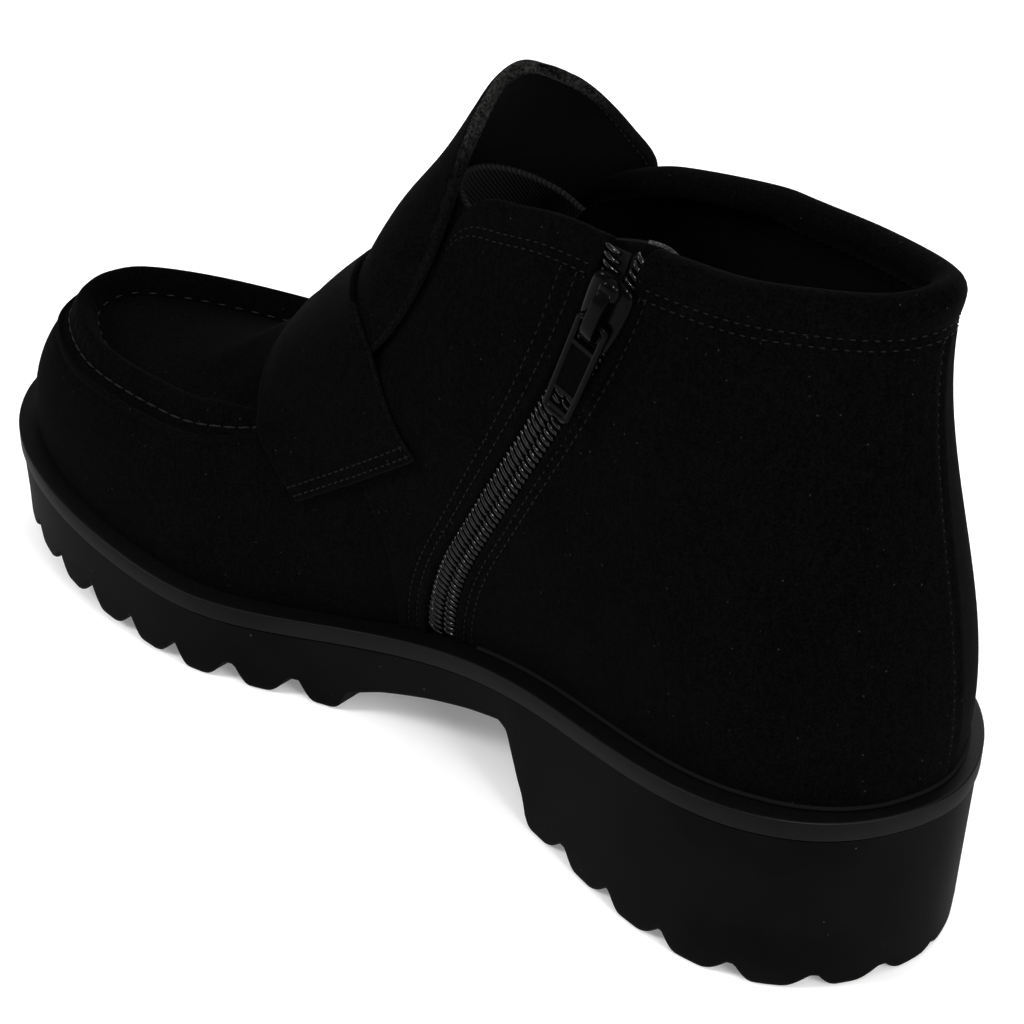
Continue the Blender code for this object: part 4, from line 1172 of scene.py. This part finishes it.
rowIn = rowNode("NodeGroupInput")
rowOut = rowNode("NodeGroupOutput")
toCurve = rowNode("GeometryNodeMeshToCurve")
resample = rowNode("GeometryNodeResampleCurve", mode="LENGTH")
tangent = rowNode("GeometryNodeInputTangent")
upName = rowNode("GeometryNodeInputNamedAttribute", data_type="FLOAT_VECTOR")
upName.inputs["Name"].default_value = "up"
alignX = rowNode("FunctionNodeAlignRotationToVector", axis="X")
alignZ = rowNode("FunctionNodeAlignRotationToVector", axis="Z", pivot_axis="X")
shapeInfo = rowNode("GeometryNodeObjectInfo")
onPoints = rowNode("GeometryNodeInstanceOnPoints")
realize = rowNode("GeometryNodeRealizeInstances")
setFinish = rowNode("GeometryNodeSetMaterial")
for source, output, target, socket in (
        (rowIn, "Paths", toCurve, "Mesh"), (toCurve, "Curve", resample, "Curve"),
        (rowIn, "Pitch", resample, "Length"), (resample, "Curve", onPoints, "Points"),
        (tangent, "Tangent", alignX, "Vector"), (alignX, "Rotation", alignZ, "Rotation"),
        (upName, "Attribute", alignZ, "Vector"), (rowIn, "Shape", shapeInfo, "Object"),
        (shapeInfo, "Geometry", onPoints, "Instance"), (alignZ, "Rotation", onPoints, "Rotation"),
        (rowIn, "Size", onPoints, "Scale"), (onPoints, "Instances", realize, "Geometry"),
        (realize, "Geometry", setFinish, "Geometry"), (rowIn, "Finish", setFinish, "Material"),
        (setFinish, "Geometry", rowOut, "Rows")):
    rowTree.links.new(source.outputs[output], target.inputs[socket])
rowIds = {item.name: item.identifier for item in rowTree.interface.items_tree if item.in_out == "INPUT"}


def rowsMesh(name, paths, pitch, shape, size, finish):
    # paths are (points, ups) in millimetres; returns a plain mesh of the placed shapes
    points, ups, edges = [], [], []
    for p, u in paths:
        edges += [(len(points) + k, len(points) + k + 1) for k in range(len(p) - 1)]
        points += ((np.asarray(p) - shift) * mm).tolist()
        ups += np.asarray(u).tolist()
    mesh = bpy.data.meshes.new(name)
    mesh.from_pydata(points, edges, [])
    upField = mesh.attributes.new("up", "FLOAT_VECTOR", "POINT")
    upField.data.foreach_set("vector", np.array(ups, float).ravel())
    holder = placed(name, mesh)
    rows = holder.modifiers.new("rows", "NODES")
    rows.node_group = rowTree
    settings = {"Pitch": pitch * mm, "Shape": shape, "Size": size, "Finish": finish.material}
    for label, value in settings.items():
        rows[rowIds[label]] = value
    graph = bpy.context.evaluated_depsgraph_get()
    made = bpy.data.meshes.new_from_object(holder.evaluated_get(graph))
    bpy.data.objects.remove(holder)
    return made


def barShape(name, path, radii, sides):
    rings = []
    path = np.asarray(path, float)
    along = unit(np.gradient(path, axis=0))
    side = unit(np.cross((0.0, 0.0, 1.0), along))
    top = np.cross(along, side)
    a = -2 * np.pi * np.arange(sides) / sides
    for k, (rSide, rTop) in enumerate(radii):
        across, over = (rSide * np.cos(a))[:, None], (rTop * np.sin(a))[:, None]
        rings.append(path[k] - side[k] * across + top[k] * over)
    shape = makePiece(name, *ringShell(np.array(rings)), [], moved=False)
    shape.hide_render = True
    return shape


stitchPath = ((-0.5, 0, -0.16), (-0.36, 0, 0.02), (-0.12, 0, 0.1), (0.12, 0, 0.1), (0.36, 0, 0.02),
              (0.5, 0, -0.16))
stitchRadii = ((0.12, 0.1), (0.24, 0.2), (0.28, 0.22), (0.28, 0.22), (0.24, 0.2), (0.12, 0.1))
frontToothPath = ((1.25, 2.3, -0.5), (1.0, 1.9, 0.1), (0.5, 1.0, 0.5), (0, 0, 0.62), (-0.5, -1.0, 0.5),
                  (-0.85, -1.7, 0.1), (-1.0, -2.1, -0.5))
rearToothPath = ((0.35, 1.8, -0.5), (0.3, 1.5, 0.1), (0.15, 0.8, 0.45), (0, 0, 0.55), (-0.15, -0.8, 0.45),
                 (-0.3, -1.6, 0.1), (-0.35, -2.0, -0.5))
toothRadii = ((0.25, 0.3), (0.44, 0.55), (0.52, 0.46), (0.52, 0.46), (0.52, 0.46), (0.44, 0.55), (0.25, 0.3))
stitchShape = barShape("stitchShape", stitchPath, stitchRadii, 6)
frontTooth = barShape("frontTooth", frontToothPath, toothRadii, 7)
rearTooth = barShape("rearTooth", rearToothPath, toothRadii, 7)


def zipPath(v, y, h):
    return zipAt(v, y, h), wallNormal(zipLine(v)[0], v)


teethV = np.linspace(*zipper["teeth"], 200)
openV = np.linspace(*zipper["open"], 20)
openOut = np.linspace(*zipper["openOut"], 20)
coilMeshes = []
for name, shape, away, side in (("coilFront", frontTooth, 1.75, 1), ("coilRear", rearTooth, -2.55, -1)):
    paths = [zipPath(v, y, zipper["teethOut"]) for v, y in ((teethV, away), (openV, side * openOut))]
    coilMeshes.append(rowsMesh(name, paths, zipper["pitch"], shape, (1, 1, 1), coilGloss))


def meshArrays(mesh):
    co = np.empty(len(mesh.vertices) * 3)
    mesh.vertices.foreach_get("co", co)
    return co.reshape(-1, 3), [list(p.vertices) for p in mesh.polygons]


def makeRows(name, meshes, finishes, onFaces=None):
    points, faces = joined(*(meshArrays(mesh) for mesh in meshes))
    return makePiece(name, points / mm, faces, finishes, onFaces, sharp=70, moved=False)


zipCoil = makeRows("zipCoil", coilMeshes, [coilGloss])

sewing = {
    "fine": (2.46, 1.3, 0.75),      # pitch, length, thickness
    "ridge": (4.4, 3.4, 1.1),
    "inner": (4.6, 2.2, 0.9),
    "collar": (2.3, 1.15, 0.7),
    "strap": (2.2, 1.25, 0.75),
    "edge": (2.2, 1.3, 0.7),
    "back": (2.3, 0.7, 0.6),
    "sit": 0.05,
    "slot": 4.6,                    # half the zip's gap, where the rows beside it count from
    "strapTurn": 1.4,
}

def wallRow(t, v, out=0.0):
    n = wallNormal(t, v)
    return wallAt(t, v) + n * (out + sewing["sit"]), n


def ridgeRow(across, out):
    t = np.linspace(stationAt(206), 2 * halfRound - stationAt(206), 400)
    a = np.full(t.shape, across)
    n = unit(np.cross(ridgeAt(t, a + 0.03) - ridgeAt(t, a - 0.03),
                      ridgeAt(t + 0.5, a) - ridgeAt(t - 0.5, a)))
    return [(ridgeAt(t, a) + n * out, n)]


zipV = np.linspace(0.01, 0.915, 160)
fineRows = [zipPath(zipV, side * (sewing["slot"] + row), sewing["sit"] - quarter["channel"] * 0.6)
            for row in quarter["zipRows"] for side in (-1, 1)]
collarT = (np.linspace(-196, 126, 300), np.linspace(156, 199, 60))
collarRows = [wallRow(t, 1 - row / wallLength(t), -quarter["channel"] * 0.7)
              for row in quarter["sewnRows"] for t in collarT]
backRows = [wallRow(np.full(150, 1.9), np.linspace(0.03, 0.905, 150), 0.02)]
bindAt = np.argmin(np.abs(rearBelow.mean(0) - quarter["bindingDown"] + 1.3))
bindNormal = -gridNormals(rearInner)[6:-6, bindAt]
bindingRows = [(rearInner[6:-6, bindAt] + bindNormal * sewing["sit"], bindNormal)]


def sheetRow(outer, normal, i, j, out=0.05):
    # a row through fractional grid places of a finished sheet
    def at(grid):
        i0 = np.clip(np.floor(i).astype(int), 0, grid.shape[0] - 2)
        j0 = np.clip(np.floor(j).astype(int), 0, grid.shape[1] - 2)
        a = (i - i0)[:, None]
        b = (j - j0)[:, None]
        low = grid[i0, j0] * (1 - b) + grid[i0, j0 + 1] * b
        high = grid[i0 + 1, j0] * (1 - b) + grid[i0 + 1, j0 + 1] * b
        return low * (1 - a) + high * a
    n = unit(at(normal))
    return at(outer) + n * out, n


def edgePlaces(dist, rows, inset, fromEnd=False):
    # grid columns at one distance from a sheet's side, row by row
    step = -1 if fromEnd else 1
    columns = np.arange(dist.shape[1])[::step]
    return np.array([np.interp(inset, dist[int(round(i))][::step], columns) for i in rows])


strapThread = []
strapI = np.linspace(2.5, len(strapGrid) - 3.5, 80)
for dist, fromEnd in ((strapDist[2], False), (strapDist[3], True)):
    ends = [sheetRow(strapOuter, strapNormal, strapI, edgePlaces(dist, strapI, row, fromEnd))
            for row in strap["endRows"]]
    (nearRow, nearUp), (farRow, _) = ends
    middle = (nearRow[-1] + farRow[-1]) / 2 + unit(nearRow[-1] - nearRow[-4]) * sewing["strapTurn"]
    turnPath = np.array([nearRow[-1], middle, farRow[-1]])
    strapThread += ends + [(turnPath, np.repeat(nearUp[-1:], 3, axis=0))]

inset = tongue["edgeRow"]
upMiddle = tongueDist[1][::-1, tongueGrid.shape[1] // 2]
top = np.interp(inset, upMiddle, np.arange(len(upMiddle))[::-1])
sideI = np.linspace(tongue["threadFrom"], top, 90)
left = edgePlaces(tongueDist[2], sideI, inset)
right = edgePlaces(tongueDist[3], sideI, inset, True)
over = np.linspace(left[-1], right[-1], 60)[1:-1]
edgeI = np.r_[sideI, np.full(len(over), top), sideI[::-1]]
tongueThread = [sheetRow(tongueInner, -tongueNormal, edgeI, np.r_[left, over, right[::-1]], 0.0)]

threadMeshes, threadWaxed = [], []
for name, paths, waxed in (
        ("fine", fineRows, 0), ("collar", collarRows, 0), ("back", backRows, 0), ("strap", strapThread, 0),
        ("edge", tongueThread, 0), ("edge", bindingRows, 1),
        ("ridge", ridgeRow(vamp["stitchAcross"], -0.2), 1), ("inner", ridgeRow(0.945, 0.1), 1)):
    pitch, length, thin = sewing[name]
    threadMeshes.append(rowsMesh(name, paths, pitch, stitchShape, (length, thin, thin), thread))
    threadWaxed += [waxed] * len(threadMeshes[-1].polygons)
seamThread = makeRows("seamThread", threadMeshes, [thread, waxedThread], threadWaxed)
for helper in (stitchShape, frontTooth, rearTooth):
    bpy.data.objects.remove(helper)
print("thread and teeth made", len(seamThread.data.polygons), len(zipCoil.data.polygons))

settle(outsoleUnit, "sole", "outsole")
settle(weltBand, "welt", "welt")
settle(insoleBoard, "lining", "insole")
settle(upperVamp, "suede", "upper")
settle(apronPanel, "suede")
settle(quarterFront, "suede")
settle(quarterRear, "suede")
settle(footBeadCord, "welt")
settle(tongueFlap, "suede", "tongue")
settle(saddleStrap, "suede", "strap")
settle(goreKnit, "elastic", "gore")
settle(zipTapes, "coil", "zip_chain")
settle(zipCoil, "coil")
settle(zipGuard, "lining")
settle(sliderBody, "zip_metal", "zip_slider")
settle(pullTab, "zip_metal", "zip_pull", body="pull")
settle(seamThread, "suede")

# studio: pale floor and white surround, a key from the toe's medial side, soft light overhead
studio = {
    "world": 0.45,
    "floor": 4000.0,
    "aim": (0, 0, 0.07),
    "key": ((0.6, 0.7, 0.75), 0.32, 7.4),
    "over": ((-0.1, 0.0, 1.5), 1.8, 9.0),
    "side": ((-1.0, 0.22, 0.6), 0.5, 8.5),
    "glint": ((-0.375, 0.435, 0.84), 0.12, 9.0),     # small and hard, for the zip's sparkle
    "far": ((0.15, -0.9, 0.7), 0.8, 6.0),
}
floorPaint = Finish("paleFloor", Roughness=0.7, Specular_IOR_Level=0.2,
                    Emission_Color=(1, 1, 1, 1), Emission_Strength=0.2)
floorPaint.feed("Base Color", floorPaint.tint(floorPaint.noise(6, 2), grey(0.9, 1), grey(0.94, 1)))
wide = studio["floor"]
floorCorners = ((-wide, -wide, 0), (wide, -wide, 0), (wide, wide, 0), (-wide, wide, 0))
floor = makePiece("paleFloor", floorCorners, [(0, 1, 2, 3)], [floorPaint], moved=False)

scene = bpy.context.scene
scene.view_settings.view_transform = "Standard"
world = bpy.data.worlds.new("whiteStudio")
world.use_nodes = True
surround = world.node_tree.nodes["Background"].inputs
surround["Color"].default_value = (1, 1, 1, 1)
surround["Strength"].default_value = studio["world"]
scene.world = world
for name in ("key", "over", "side", "glint", "far"):
    place, size, power = studio[name]
    lamp = bpy.data.lights.new(name, "AREA")
    lamp.shape = "SQUARE"
    lamp.size = size
    lamp.energy = power
    lampObject = placed(name, lamp)
    lampObject.location = place
    lampObject.visible_diffuse = name != "glint"
    aim = Vector(studio["aim"]) - Vector(place)
    lampObject.rotation_euler = aim.to_track_quat("-Z", "Y").to_euler()

view = {"target": (-15.58, 2.93, 58.72), "far": 600.0, "angles": (40.65, 35.47, 0.776), "lens": 89.25}
turn, rise, roll = (math.radians(angle) for angle in view["angles"])
back = Vector((-math.cos(rise) * math.sin(turn), math.cos(rise) * math.cos(turn), math.sin(rise)))
right = (-back).cross(Vector((0, 0, 1))).normalized()
upward = right.cross(-back)
rolledRight = right * math.cos(roll) + upward * math.sin(roll)
rolledUp = upward * math.cos(roll) - right * math.sin(roll)
eye = Vector(view["target"]) + back * view["far"]
cameraData = bpy.data.cameras.new("photoView")
cameraData.sensor_width = 36
cameraData.lens = view["lens"]
camera = placed("photoView", cameraData)
turned = Matrix((rolledRight, rolledUp, back)).transposed().to_4x4()
camera.matrix_world = Matrix.Translation(eye * mm) @ turned
scene.camera = camera
print("studio set")
